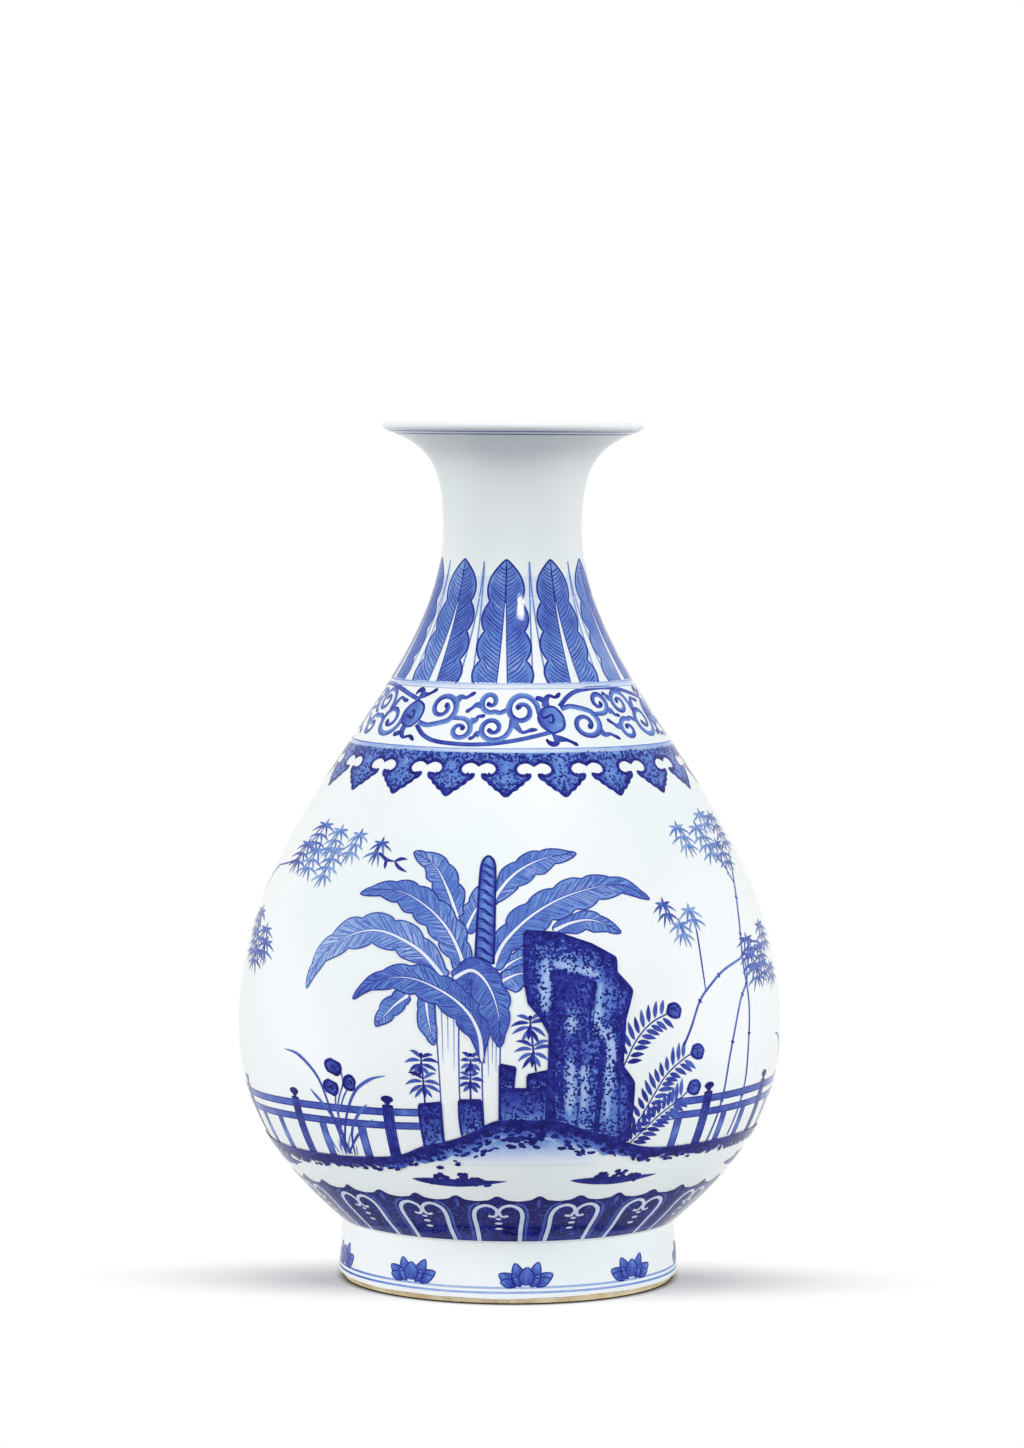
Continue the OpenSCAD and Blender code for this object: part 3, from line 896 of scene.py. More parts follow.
trunks = {
    "edges": [[(-24, 103), (-22.4, 80), (-20.8, 58)], [(-16.2, 103), (-16, 78), (-15, 60)],
              [(-8.7, 97), (-8.6, 78), (-8, 63.5)], [(-2.9, 97), (-2.9, 80), (-2.8, 65)]],
    "folds": [[(-22, 103), (-21.6, 95), (-21.2, 84)], [(-20, 103), (-19.8, 96), (-19.6, 88)],
              [(-18, 103), (-17.8, 94), (-17.6, 82)], [(-7, 95), (-6.8, 89), (-6.6, 80)],
              [(-5.4, 95), (-5.4, 90), (-5.4, 84)], [(-4, 95), (-4.2, 89), (-4.2, 82)]],
    "edgeLine": (0.5, 0.66), "foldLine": (0.45, 0.42),
}
for path in trunks["edges"]:
    brush("plantain_lines", fronts(path), *trunks["edgeLine"], 0.3, evenStroke)
for path in trunks["folds"]:
    brush("plantain_lines", fronts(path), *trunks["foldLine"], 0.3, tailStroke)
print("plantain painted")

# Scholar's rock beside the plantain, and the low blocks that the trunks stand among
rock = {
    "left": [(5, 126), (5, 118), (5.2, 111), (6.5, 104), (10, 100), (13.2, 94), (13.2, 86), (12.8, 76),
             (12.2, 65.5)],
    "right": [(15, 125.4), (26, 121.6), (33.6, 117.3), (34, 112.8), (39, 107), (36.8, 98), (36, 83),
              (39.8, 77), (38, 57.5)],
    "slab": [(14, 66), (14, 80), (14.2, 96), (14.3, 113), (22, 112), (27.2, 109.8), (26.4, 102), (26.2, 96),
             (30.2, 91.5), (29.4, 84), (29, 74), (28, 61.5)],
    "lanes": [[(11.6, 118), (11.4, 108), (11.6, 101)], [(14, 116), (22, 114.6), (29, 112)],
              [(29.4, 110), (28.6, 102), (28.8, 96), (32.6, 91), (32, 80), (31.4, 66)],
              [(19.8, 100), (20, 94)], [(19.4, 86), (20, 76), (19.4, 67)], [(24, 84), (24, 68)]],
    "folds": [[(26.2, 96), (22.4, 90), (22.6, 78), (22, 66)], [(17, 98), (17, 84), (16.6, 68)],
              [(35, 106), (34.6, 92), (35.4, 80), (35, 62)]],
    "order": 15, "wash": 0.47, "ease": 0.2, "laneTone": 0.3, "laneWidth": 4.8, "laneClear": 1.5,
    "edge": 0.92, "edgeWidths": (1.5, 1.9, 1.8), "edgeReach": 3.8, "slabLine": (1.8, 0.94),
    "foldLine": (1.2, 0.8), "dots": 4400, "dotSizes": (0.65, 1.2), "dotTones": (0.8, 0.97),
}


def nearPath(spot, line, reach):
    wide, tall = scaleAt(spot[1])
    return any(math.hypot((spot[0] - a) * wide, (spot[1] - z) * tall) < reach for a, z in line)


def drawRock(toPlace, draw, dots):
    order, wash, laneTone, ease = rock["order"], rock["wash"], rock["laneTone"], rock["ease"]
    left, right, slab = (toPlace(rock[name]) for name in ("left", "right", "slab"))
    top = [left[0], right[0]]
    lanes = [smoothPath(toPlace(lane), 1.2) for lane in rock["lanes"]]
    edges = [smoothPath(path, 1.5, ease) for path in (left, right, top, slab)]

    def laneInk(u, v):  # pale in the middle, like the wash at the sides and ends
        return laneTone + (wash - laneTone) * min(1, abs(2 * v - 1) ** 1.3 + 0.6 * abs(2 * u - 1) ** 4)

    def keep(u, v, spot):
        if any(nearPath(spot, lane, rock["laneClear"]) for lane in lanes):
            return 0.2
        return 1.0 if any(nearPath(spot, line, rock["edgeReach"]) for line in edges) else 0.5
    place = fill("rock_wash", left, right, lambda u, v: wash + 0.32 * abs(2 * v - 1) ** 3,
                 order, 16, 1.6, ease)
    for lane in lanes:
        ribbon("rock_wash", lane, rock["laneWidth"], laneInk, order + 0.35, 8, brushStroke)
    for path, width in zip((left, right, top), rock["edgeWidths"]):
        brush("rock_lines", path, width, rock["edge"], order + 0.5, evenStroke, 1.1, ease)
    fill("rock_wash", slab[3::-1], slab[5:], lambda u, v: 0.74 - 0.3 * u + 0.12 * (1 - v) ** 3,
         order + 0.2, 12, 1.6, ease)
    brush("rock_lines", slab, *rock["slabLine"], order + 0.5, evenStroke, 1.1, ease)
    for path in rock["folds"]:
        brush("rock_lines", toPlace(path), *rock["foldLine"], order + 0.4, brushStroke)
    stipple("rock_dots", place, dots, rock["dotSizes"], rock["dotTones"], order + 0.6, draw, keep, 1.5)


draw = random.Random(31)
drawRock(fronts, draw, rock["dots"])

blocks = {
    "shapes": [  # left edge, right edge, both from the top down
        ([(-29, 70), (-28.4, 64), (-27, 56)], [(-22, 71), (-21.5, 64), (-21, 58)]),
        ([(-16, 72), (-15.8, 66), (-15, 60.5)], [(-9, 72.2), (-8.6, 68), (-8.2, 63.5)]),
        ([(-2.9, 84), (-2.9, 80), (-2.9, 76)], [(2, 83), (1.6, 80), (1.3, 76)]),
        ([(6, 80.6), (6, 78), (6, 76)], [(13, 82), (13, 79), (13, 76)]),
        ([(-2.9, 76), (-2.9, 70), (-2.9, 65)], [(13, 76), (13, 70), (12.6, 65.5)]),
    ],
    "order": 14, "wash": 0.78, "dots": (190, (0.6, 1.1), (0.86, 1.0)), "streaks": 6,
    "streakLine": (0.6, 0.72), "sideLine": (0.9, 0.92), "topLine": (1.3, 0.95),
}
for left, right in blocks["shapes"]:
    order = blocks["order"]
    blockPlace = fill("rock_wash", fronts(left), fronts(right), lambda u, v: blocks["wash"] - 0.36 * u * u,
                      order, 6)
    for k in range(blocks["streaks"]):  # where the wash ran down
        v = (k + draw.uniform(0.2, 0.8)) / blocks["streaks"]
        streak = [blockPlace(draw.uniform(0.3, 0.5), v), blockPlace(draw.uniform(0.8, 1), v)]
        brush("rock_lines", streak, *blocks["streakLine"], order + 0.3, tailStroke)
    for path, kind in ((left, "sideLine"), (right, "sideLine"), ([left[0], right[0]], "topLine")):
        brush("rock_lines", fronts(path), *blocks[kind], order + 0.4, evenStroke)
    stipple("rock_dots", blockPlace, *blocks["dots"], order + 0.5, draw,
            lambda u, v, spot: 1.1 - 0.8 * u, 1.5)
print("rocks painted")

# Ground all round: its top edge in degrees and millimetres, and how far its shade reaches down
ground = {
    "top": [(-180, 54), (-160, 57), (-140, 56), (-120, 52), (-95, 50), (-70, 49.3), (-52, 49.5), (-38, 50.3),
            (-26, 52), (-19, 56), (-14, 58), (-10, 60), (-5, 64), (-2, 65.8), (4, 66), (11, 65.2), (18, 61.3),
            (22, 60), (26, 57.4), (32, 55), (41, 54.3), (55, 54.4), (68, 54.5), (90, 53), (110, 52),
            (130, 55), (145, 58), (160, 57), (180, 54)],
    "dark": 2.4, "mound": 5.2, "tone": 0.88, "order": 16, "dots": 5200, "closeShare": 0.7, "looseShare": 0.3,
    "dotSizes": (1.3, 2.3), "dotTones": (0.88, 1.0),
    "grass": 640, "grassWidths": (0.6, 0.95), "grassTones": (0.86, 1.0),
    "washFoot": 52.2, "washFrom": -16, "washAcross": 36,
}
groundLine = smoothPath(ground["top"], 1.6)
groundAngles = [a for a, z in groundLine]


def groundTop(a):
    i = min(max(bisect.bisect_left(groundAngles, a), 1), len(groundLine) - 1)
    (a0, z0), (a1, z1) = groundLine[i - 1], groundLine[i]
    return z0 + (z1 - z0) * (a - a0) / ((a1 - a0) or 1)


def moundShare(a):  # one in the middle of the mound, none beside it
    return max(0, math.cos(math.radians(min(90, abs(a - 3) * 2.5))))


def groundShade(u, v):
    a = roundVase(u)
    ragged = 0.7 * math.sin(math.radians(37 * a)) + 0.5 * math.sin(math.radians(71 * a + 20))
    return a, groundTop(a) - (1 - v) * (ground["dark"] + ground["mound"] * moundShare(a) + ragged)


film("ground_wash", 420, 8, groundShade,
     lambda u, v: ground["tone"] - (0.16 + 0.46 * moundShare(roundVase(u))) * (1 - v) ** 1.7, ground["order"])


def groundScatter(u, v):  # a close row under the edge, and a looser one lower on the mound
    a, share = roundVase(u), ground["closeShare"]
    if v < share:
        deep = 0.5 + (3.9 + 2.4 * moundShare(a)) * v / share
    else:
        deep = 6.0 + 3.4 * (v - share) / ground["looseShare"]
    return a, groundTop(a) - deep


def groundTurn(a):  # slope of the ground's edge
    wide, tall = scaleAt(groundTop(a))
    return math.atan2((groundTop(a + 1.5) - groundTop(a - 1.5)) * tall, 3 * wide)


draw = random.Random(47)
for _ in range(ground["dots"]):  # dashes that lie along the slope, closer together near its top
    u, v = draw.random(), draw.random()
    spot = groundScatter(u, v)
    share = moundShare(spot[0])
    if v < ground["closeShare"]:
        chance = (1 - 1.2 * v) * (1 - 0.2 * share)
    else:
        chance = max(0, 2.6 * share - 1.75) * (0.55 + 0.45 * math.sin(math.radians(31 * spot[0])))
    if draw.random() < chance:
        dab("ground_dots", spot, draw.uniform(*ground["dotSizes"]), draw.uniform(*ground["dotTones"]),
            ground["order"] + 0.5, draw, draw.uniform(1.2, 1.7),
            groundTurn(spot[0]) + draw.uniform(-0.5, 0.3))
for k in range(ground["grass"]):  # slanting grass that hangs below the edge
    a = 360 * (k + draw.random()) / ground["grass"] - 180
    top = groundTop(a) - draw.uniform(0.6, 1.8)
    end = beside(a, draw.uniform(0.8, 2.0), top - draw.uniform(1.6, 2.6))
    brush("ground_dots", [(a, top), end], draw.uniform(*ground["grassWidths"]),
          draw.uniform(*ground["grassTones"]), ground["order"] + 0.4, tailStroke, 2.0)


def moundWash(u, v):  # pale water wash under the mound
    a, foot = ground["washFrom"] + ground["washAcross"] * u, ground["washFoot"]
    return a, foot + (groundTop(a) - 4.2 - foot) * v - 1.6 * (1 - v)


film("ground_wash", 24, 5, moundWash, lambda u, v: 0.04 + 0.6 * v ** 1.1 * math.sin(math.pi * u) ** 0.5,
     ground["order"] - 0.5)

islets = {
    "places": [(-11.8, 43.5), (26.3, 43.8), (78, 43.0), (128, 43.6), (172, 43.0), (-130, 43.6), (-72, 43.0)],
    "reach": 15.8, "humps": [(-5.6, 2.6), (1.2, 3.0), (6.4, 1.4)],
    "bankWidth": 3.3, "tone": 0.84, "order": 3, "bushDots": 15, "bankDots": 44,
}
for a, z in islets["places"]:  # flat little islands with bushes on them
    reach, order, count = islets["reach"], islets["order"], islets["bushDots"]
    bank = [beside(a, -reach, z + 0.5), beside(a, 0, z - 0.2), beside(a, reach, z + 0.8)]
    brush("ground_wash", bank, islets["bankWidth"], islets["tone"], order, bladeStroke)
    for s, tall in islets["humps"]:
        for k in range(count):
            spot = beside(a, s + draw.uniform(-2.6, 2.6) * (1 - 0.4 * k / count), z + 0.4 + tall * k / count)
            dab("ground_dots", spot, draw.uniform(1.3, 2.1), draw.uniform(0.88, 1.0), order + 0.5, draw,
                1.2, 0.1)
    for _ in range(islets["bankDots"]):
        spot = beside(a, reach * draw.uniform(-0.62, 0.62), z + draw.uniform(-1.0, 1.1))
        dab("ground_dots", spot, draw.uniform(1.0, 1.6), draw.uniform(0.84, 0.98), order + 0.5, draw,
            1.6, 0.0)
print("ground painted")

fence = {
    "runs": [(-176, -19), (36.5, 134)],
    "rail": [(-176, 67), (-140, 66.2), (-100, 65.4), (-72, 65.5), (-45, 66.3), (-31, 66.7), (-19, 67.6),
             (36.5, 69.7), (134, 69.7)],
    "railGap": 4.6, "railTall": 2.3,
    "posts": [-156, -130, -104, -77, -51.3, -25.8, 46, 69, 92, 115], "postWide": 3.7, "postRise": 1.6,
    "finial": [(0.3, 4.2, 1.2), (1.4, 2.2, 1.2), (2.6, 4.5, 2.5)],  # collar, neck and knob
    "balusters": [-169, -147, -139, -121, -113, -95, -87, -69, -60, -44, -33,
                  38.5, 53, 61, 77, 84, 100, 107, 123, 130], "balusterWide": 2.9,
    "wash": 0.6, "edgeLine": (0.36, 0.88), "grainLine": (0.6, 0.94), "knobTone": 0.95, "order": 2,
}


def fenceBar(path, width, order, tone=0.0):  # a filled bar with darker edges
    line = smoothPath(path, 1.6)
    ribbon("fence_wash", line, width, lambda u, v: fence["wash"] + tone + 0.08 * math.sin(9 * u), order, 2)
    for side in (-0.5, 0.5):
        brush("fence_lines", alongside(line, 40, lambda u: side * width), *fence["edgeLine"], order + 0.5,
              evenStroke, 1.6)


def railAt(a):  # height of the upper rail
    for (low, zLow), (high, zHigh) in zip(fence["rail"], fence["rail"][1:]):
        if a <= high:
            return zLow + (zHigh - zLow) * (a - low) / (high - low)
    return fence["rail"][-1][1]


def drawFence():
    order = fence["order"]
    for first, last in fence["runs"]:
        count = max(3, int((last - first) / 8))
        angles = [first + (last - first) * i / count for i in range(count + 1)]
        for drop in (0.0, fence["railGap"]):
            rail = [(a, railAt(a) - drop + 0.2 * math.sin(a / 9)) for a in angles]
            fenceBar(rail, fence["railTall"], order)
    for a in fence["balusters"]:
        fenceBar([(a, railAt(a) - fence["railGap"] - 1.0), (a, groundTop(a) - 0.4)],
                 fence["balusterWide"], order - 0.8)
    for a in fence["posts"]:
        top = railAt(a) + fence["postRise"]
        fenceBar([(a, top), (a, groundTop(a) - 0.6)], fence["postWide"], order + 1.5, 0.16)
        for across in (-0.6, 0.0, 0.6):
            line = [(a + across, top - 1), (a + across, groundTop(a) + 1)]
            brush("fence_lines", line, *fence["grainLine"], order + 1.9, tailStroke, 2.0)
        for high, wide, tall in fence["finial"]:
            brush("fence_lines", level(a, wide, top + high), tall, fence["knobTone"], order + 2.2,
                  roundStroke, 0.5)


drawFence()
print("fence painted")

plants = {
    "buds": [((-60.2, 81.6), (-54.4, 79.2)), ((-60.6, 74.6), (-55.4, 72.4)), ((-51.4, 78.4), (-52.2, 73.0))],
    "budSize": 5.0, "budTones": (0.95, 0.74), "heartDots": 11, "grass": 14,
    "budStemLine": (0.6, 0.66), "stemLine": (0.6, 0.84), "bladeWidth": 1.3,
    "budStems": [[(-53, 52), (-55.6, 67), (-54.0, 75), (-54.6, 79)], [(-54.5, 60), (-56.4, 68), (-56.2, 72)],
                 [(-55, 66), (-53.6, 71), (-52.4, 73.4)]],
    "blades": [[(-51, 51), (-57, 63), (-62, 75.6), (-68.6, 82.6), (-74, 84)],
               [(-53, 50.5), (-53, 63), (-50, 72.8), (-45, 77.4), (-40, 79)],
               [(-50, 50.5), (-51, 59), (-49, 65), (-46, 69)], [(-53, 52), (-58, 64), (-65, 72)],
               [(-52, 51), (-55, 60), (-61, 68)], [(-52, 51), (-49, 58), (-44, 64)]],
    "tiers": [((-28.4, 84.2), 5.8, True), ((-27.6, 77.4), 6.2, False), ((-12.4, 84.8), 3.7, True),
              ((-12.4, 78.8), 3.9, False), ((6.6, 97), 6.2, True), ((7.6, 88.6), 6.8, False)],
    "pairs": [(1.5, 24, 0.8, 0.5), (0.5, -4, 1.0, 0.5), (-0.7, -28, 0.95, 0.35), (-1.5, -52, 0.8, 0.05)],
    "stems": [[(-28.4, 86), (-27.6, 78), (-27, 70.5)], [(-12.4, 86), (-12.4, 79), (-12.3, 72)],
              [(6.6, 99), (7.6, 90), (8.6, 82)]],
    "ironSpot": (-44.4, 49.6),
}


def leafStroke(name, start, angle, reach, width, ink, order, bend=0.12):  # a slim leaf from a point
    wide, tall = scaleAt(start[1])
    side = bend * reach
    way = (math.cos(angle), math.sin(angle))
    spots = [(start[0] + (way[0] * reach * t - way[1] * side * t * (1 - t)) / wide,
              start[1] + (way[1] * reach * t + way[0] * side * t * (1 - t)) / tall)
             for t in (0, 0.35, 0.7, 1)]
    brush(name, spots, width, ink, order, bladeStroke, 1.6)


def tier(centre, reach, draw, order):  # pairs of leaves at one place of a stem, the lower ones drooping
    for drop, angle, share, bend in plants["pairs"]:
        for side in (-1, 1):
            start = beside(centre[0], side * 0.3, centre[1] + drop)
            heading = math.radians(angle if side > 0 else 180 - angle) + draw.uniform(-0.16, 0.16)
            leafStroke("plant_lines", start, heading, reach * share * draw.uniform(0.8, 1.1), 1.3,
                       draw.uniform(0.58, 0.9), order + 0.05 * drop, side * bend)
    leafStroke("plant_lines", centre, math.radians(draw.uniform(262, 278)), reach * 0.8, 1.6, 0.86,
               order + 0.4, 0)


def flowerHead(tip, base, size, inks, draw, order):  # a bud with a dark edge and a speckled heart
    for share, tone, layer in ((1.0, inks[0], 0), (0.66, inks[1], 0.4)):
        ends = [mix(tip, base, t) for t in (0.5 - share / 2, 0.5 + share / 2)]
        brush("plant_wash", ends, size * share, tone, order + layer, tearStroke, 0.5)
    for _ in range(plants["heartDots"]):
        spot = tuple(p + (q - p) * draw.uniform(0.28, 0.72) for p, q in zip(tip, base))
        dab("plant_lines", beside(spot[0], draw.uniform(-0.24, 0.24) * size, spot[1]), 0.75, inks[0],
            order + 0.8, draw)


def drawOrchid(draw):
    for ends in plants["buds"]:
        tip, base = fronts(ends)
        flowerHead(tip, base, plants["budSize"], plants["budTones"], draw, 5.6)
    for path in plants["budStems"]:
        brush("plant_lines", fronts(path), *plants["budStemLine"], 3.5, evenStroke)
    for path in plants["blades"]:
        brush("plant_lines", fronts(path), plants["bladeWidth"], lambda u, v: 0.86 - 0.3 * u, 4.5,
              grassStroke)
    for _ in range(plants["grass"]):
        root = front(-52 + draw.uniform(-3.5, 3), 50.6)
        leafStroke("plant_lines", root, math.radians(draw.uniform(55, 125)), draw.uniform(4, 12), 0.45,
                   draw.uniform(0.45, 0.75), 4.2)


drawOrchid(draw)
dab("plant_lines", front(*plants["ironSpot"]), 3.0, 1.0, 19, draw, 1.4, math.pi / 2)
for centre, reach, topped in plants["tiers"]:
    spot = front(*centre)
    tier(spot, reach, draw, 5)
    if topped:
        dab("plant_lines", beside(spot[0], 0, spot[1] + 2.4), 1.5, 0.95, 5.6, draw, 1.0)
for path in plants["stems"]:
    brush("plant_lines", fronts(path), *plants["stemLine"], 4.8, evenStroke)

ferns = {
    "fronds": [  # stem, flower and pairs of leaflets
        ([(37, 83), (41, 91), (46, 96.4), (52.4, 99.4)], (53.4, 99.8), 9),
        ([(39, 59), (46, 71), (51, 79), (57, 84), (60, 85.4)], (61.4, 85.8), 13),
        ([(39, 56.5), (48, 65), (54, 69.4), (58.6, 73)], (60.4, 74), 12),
    ],
    "leaflet": 5.8, "width": 1.7, "splay": 1.02, "stemLine": (0.5, 0.84),
    "headSize": 6.0, "headTones": (0.86, 0.68),
}


def drawFrond(stem, flower, pairs, draw):
    line = smoothPath(stem, 1.0)
    brush("plant_lines", stem, *ferns["stemLine"], 4.0, evenStroke)
    for k in range(pairs):
        u = 0.08 + 0.84 * k / pairs
        spot, after = pointOn(line, u), pointOn(line, u + 0.05)
        wide, tall = scaleAt(spot[1])
        heading = math.atan2((after[1] - spot[1]) * tall, (after[0] - spot[0]) * wide)
        for side in (-1, 1):
            start = sideStep(line, u, side * 0.6)
            leafStroke("plant_lines", start, heading + side * ferns["splay"],
                       ferns["leaflet"] * draw.uniform(0.85, 1.1), ferns["width"],
                       0.92 - 0.24 * u - draw.uniform(0, 0.12), 4.2)
    tip, end = beside(flower[0], 0.9, flower[1] + 2.5), beside(flower[0], -0.9, flower[1] - 2.5)
    flowerHead(tip, end, ferns["headSize"], ferns["headTones"], draw, 4.6)


for stem, flower, pairs in ferns["fronds"]:
    drawFrond(fronts(stem), front(*flower), pairs, draw)
print("small plants painted")

# Bamboo in degrees and millimetres: jointed stalks, thin twigs and sprays of slim leaves
bamboo = {
    "stalks": [[(50, 54), (51, 67), (52, 83), (56, 99), (60.5, 107), (60.8, 113.5)],
               [(58, 55), (59, 71), (59, 84), (60, 99), (60, 113), (63, 125.6), (67.6, 137), (74, 147)],
               [(38, 88), (40, 93.5), (43, 102), (47, 107), (52, 111), (60, 114)],
               [(-99, 50.5), (-98, 75), (-96, 100), (-93, 118), (-87, 133), (-79.5, 140.8)]],
    "twigs": [[(-96, 100), (-91, 113), (-85, 121), (-78, 125)], [(45, 105), (45, 115), (45.6, 128)],
              [(67.6, 137), (66, 143), (64, 147)], [(-79.5, 140.8), (-72, 142.4), (-65, 144.8)],
              [(-78, 125), (-75, 118), (-73, 109)], [(-68, 119), (-66, 109)],
              [(60, 114), (66, 118), (72, 117)]],
    "tufts": [  # angle, height of the crest, pairs of leaves, pale
        (-59.9, 156, 3, False), (-51.7, 154.8, 3, True), (-43.4, 154.2, 3, True), (-35.2, 152.1, 2, False),
        (-64.5, 149.3, 3, False), (-58, 147.9, 3, True), (-49.6, 148.9, 4, True),
        (-78, 125.4, 3, False), (-69.6, 120.6, 2, False), (-76, 118.6, 3, False), (-67, 116.6, 2, False),
        (-72, 113, 2, False),
        (51.1, 156.7, 3, True), (66.6, 159.6, 2, True), (60.4, 155.9, 4, True), (74.1, 158.3, 4, False),
        (67.6, 149.8, 3, False), (37.2, 133.3, 2, False), (44.6, 130.8, 2, True), (40.6, 126.5, 2, True),
        (63.8, 119.2, 2, False), (75.2, 122.3, 3, False), (63.8, 114.1, 2, False), (65.3, 109.6, 2, False),
        (70.4, 110.5, 2, False), (76, 108.4, 2, False), (70, 116, 2, False)],
    "sprigs": [[(-35, 149.5), (-32.3, 147.4), (-29.5, 147)], [(-29.8, 147), (-28, 147.9), (-26.3, 147.8)],
               [(-29.8, 147.1), (-28.2, 145.2), (-25.6, 143.8)],
               [(-32.4, 147.8), (-32.2, 146.4), (-32, 144.4)]],
    "reach": 5.1, "mostReach": 11, "lean": 0.7, "width": 0.85, "leafWidth": 0.82, "tierDrop": 2.7,
    "paleInks": (0.36, 0.52), "inks": (0.5, 0.74), "layers": 8,
    "twigLine": (0.6, 0.76), "sprigLine": (1.2, 0.82),
}


def drawStalk(path, draw, width):
    line = smoothPath(path, 1.2)
    ribbon("plant_wash", line, width, lambda u, v: 0.7 - 0.28 * u + 0.14 * abs(2 * v - 1), 5.4, 2)
    joints = max(2, len(line) // 13)
    for k in range(1, joints):
        u = (k + draw.uniform(-0.15, 0.15)) / joints
        ends = [sideStep(line, u, -1.15 * width), sideStep(line, u, 1.15 * width)]
        brush("plant_lines", ends, 1.1, 0.84 - 0.2 * u, 6.0, roundStroke, 0.5)


def droop(start, across, drop, ink, order, width):  # a slim leaf that leaves its twig sideways and bends down
    wide, tall = scaleAt(start[1])
    spots = [(start[0] + across * (t - 0.2 * t * t) / wide, start[1] - drop * t ** 1.4 / tall)
             for t in (0, 0.3, 0.65, 1)]
    brush("bamboo_leaves", spots, width, ink, order, bladeStroke, 1.4)


def drawTuft(a, z, tiers, pale, draw, order):  # a crest of short leaves above pairs of drooping ones
    inks = bamboo["paleInks"] if pale else bamboo["inks"]
    slim = bamboo["leafWidth"]
    # Wider where the side of the vase turns away
    reach = min(bamboo["reach"] / abs(math.cos(math.radians(a))), bamboo["mostReach"])
    lean = math.copysign(bamboo["lean"], a)
    for k in range(tiers):
        spot = beside(a, lean * k, z - bamboo["tierDrop"] * k)
        for side in (-1, 1):
            for share, drop in ((1.0, 2.5), (0.5, 4.4)):
                droop(spot, side * share * reach * draw.uniform(0.75, 1.05), drop * draw.uniform(0.85, 1.2),
                      draw.uniform(*inks), order + 0.05 * k, slim)
    droop(spot, lean, draw.uniform(4.0, 5.2), draw.uniform(*inks), order + 0.3, slim)
    for across, rise in ((-0.6, 0.5), (0.6, 0.6), (0.05, 2.3)):
        droop((a, z + 0.3), across * reach, -rise, draw.uniform(*inks), order + 0.4, slim * 1.25)
    brush("bamboo_leaves", [beside(a, 0, z + 0.4), spot], 0.5, inks[1], order + 0.2, evenStroke)


draw = random.Random(59)
for path in bamboo["stalks"]:
    drawStalk(path, draw, bamboo["width"])
for path in bamboo["twigs"]:
    brush("plant_lines", path, *bamboo["twigLine"], 5.2, brushStroke)
for number, (a, z, tiers, pale) in enumerate(bamboo["tufts"]):
    drawTuft(a, z, tiers, pale, draw, 6 + 0.5 * (number % bamboo["layers"]))
for path in bamboo["sprigs"]:  # the bare end of the left twig
    brush("bamboo_leaves", path, *bamboo["sprigLine"], 10, bladeStroke)
print("bamboo painted")

lappets = {
    "count": 17, "turn": -2.7, "base": 20.9, "top": 36.9, "cusp": 38.5, "tone": 0.98,
    "topLine": (1.1, 0.96), "baseLine": (0.7, 0.95), "outerLine": (0.9, 0.68), "pointLine": (1.3, 0.68),
    "dots": (400, (0.4, 0.8), (0.68, 0.9)),
    "leg": [(-6.6, 21.0), (-7.1, 26.0), (-7.9, 31.2), (-7.0, 33.9), (-4.2, 35.2), (-1.4, 34.4), (-0.3, 32.6),
            (-1.3, 30.9), (-3.2, 31.2)],
    "legWidth": 1.4, "beads": [(30.0, 2.0, 1.1), (28.2, 2.5, 1.3), (26.1, 2.5, 1.3)], "reserveTone": 0.15,
}


def lappetTop(a):
    t = ((a - lappets["turn"]) * lappets["count"] / 180) % 1
    near = min(t, 1 - t)
    point = (lappets["cusp"] - lappets["top"]) * max(0, 1 - near / 0.2) ** 1.1
    return lappets["top"] + point - 0.5 * math.sin(math.pi * t) ** 4


def lappetBand(u, v):
    a = roundVase(u)
    return a, lappets["base"] + (lappetTop(a) - lappets["base"]) * v


def legStroke(u):  # even, and slimmer in the curl at its end
    return 1.0 if u < 0.6 else 1.0 - 0.7 * (u - 0.6)


def beadStroke(u):
    return max(0.15, math.sin(math.pi * u) ** 0.7)


# The wash is paler in the lowest quarter of the band: a painted reflection of the white floor
film("lappet_wash", 480, 16, lappetBand, lambda u, v: lappets["tone"] - 0.12 * max(0, 1 - 4 * v), 0)
brush("lappet_lines", [(a, lappetTop(a)) for a in range(-180, 181)], *lappets["topLine"], 0.8, evenStroke)
ringLine("lappet_lines", lappets["base"] + 0.3, *lappets["baseLine"], 0.8)
draw = random.Random(67)
for panel in range(lappets["count"]):
    step, pale = 360 / lappets["count"], lappets["reserveTone"]
    turn = lappets["turn"] + step * panel
    for side in (-1, 1):
        leg = [beside(turn, side * s, z) for s, z in lappets["leg"]]
        brush("lappet_reserves", leg, lappets["legWidth"], pale, 1.4, legStroke, 0.7)
        outer = [beside(turn, side * (s * 1.02 - 1.6), z + (0.9 if z > 33 else 0))
                 for s, z in lappets["leg"][:5]]
        brush("lappet_lines", outer, *lappets["outerLine"], 1.0, evenStroke, 1.0)
    for z, wide, tall in lappets["beads"]:
        brush("lappet_reserves", level(turn, wide, z), tall, pale, 1.4, beadStroke, 0.5)
    between = [beside(turn + step / 2, 0, 37.6), beside(turn + step / 2, 0, 34.2)]
    brush("lappet_lines", between, *lappets["pointLine"], 1.0, bladeStroke)

    def panelPlace(u, v):
        a = turn + step * (u - 0.5)
        return a, lappets["base"] + 1 + (lappetTop(a) - lappets["base"] - 2) * v
    stipple("lappet_dots", panelPlace, *lappets["dots"], 0.5, draw, None, 1.5)
print("lappets painted")

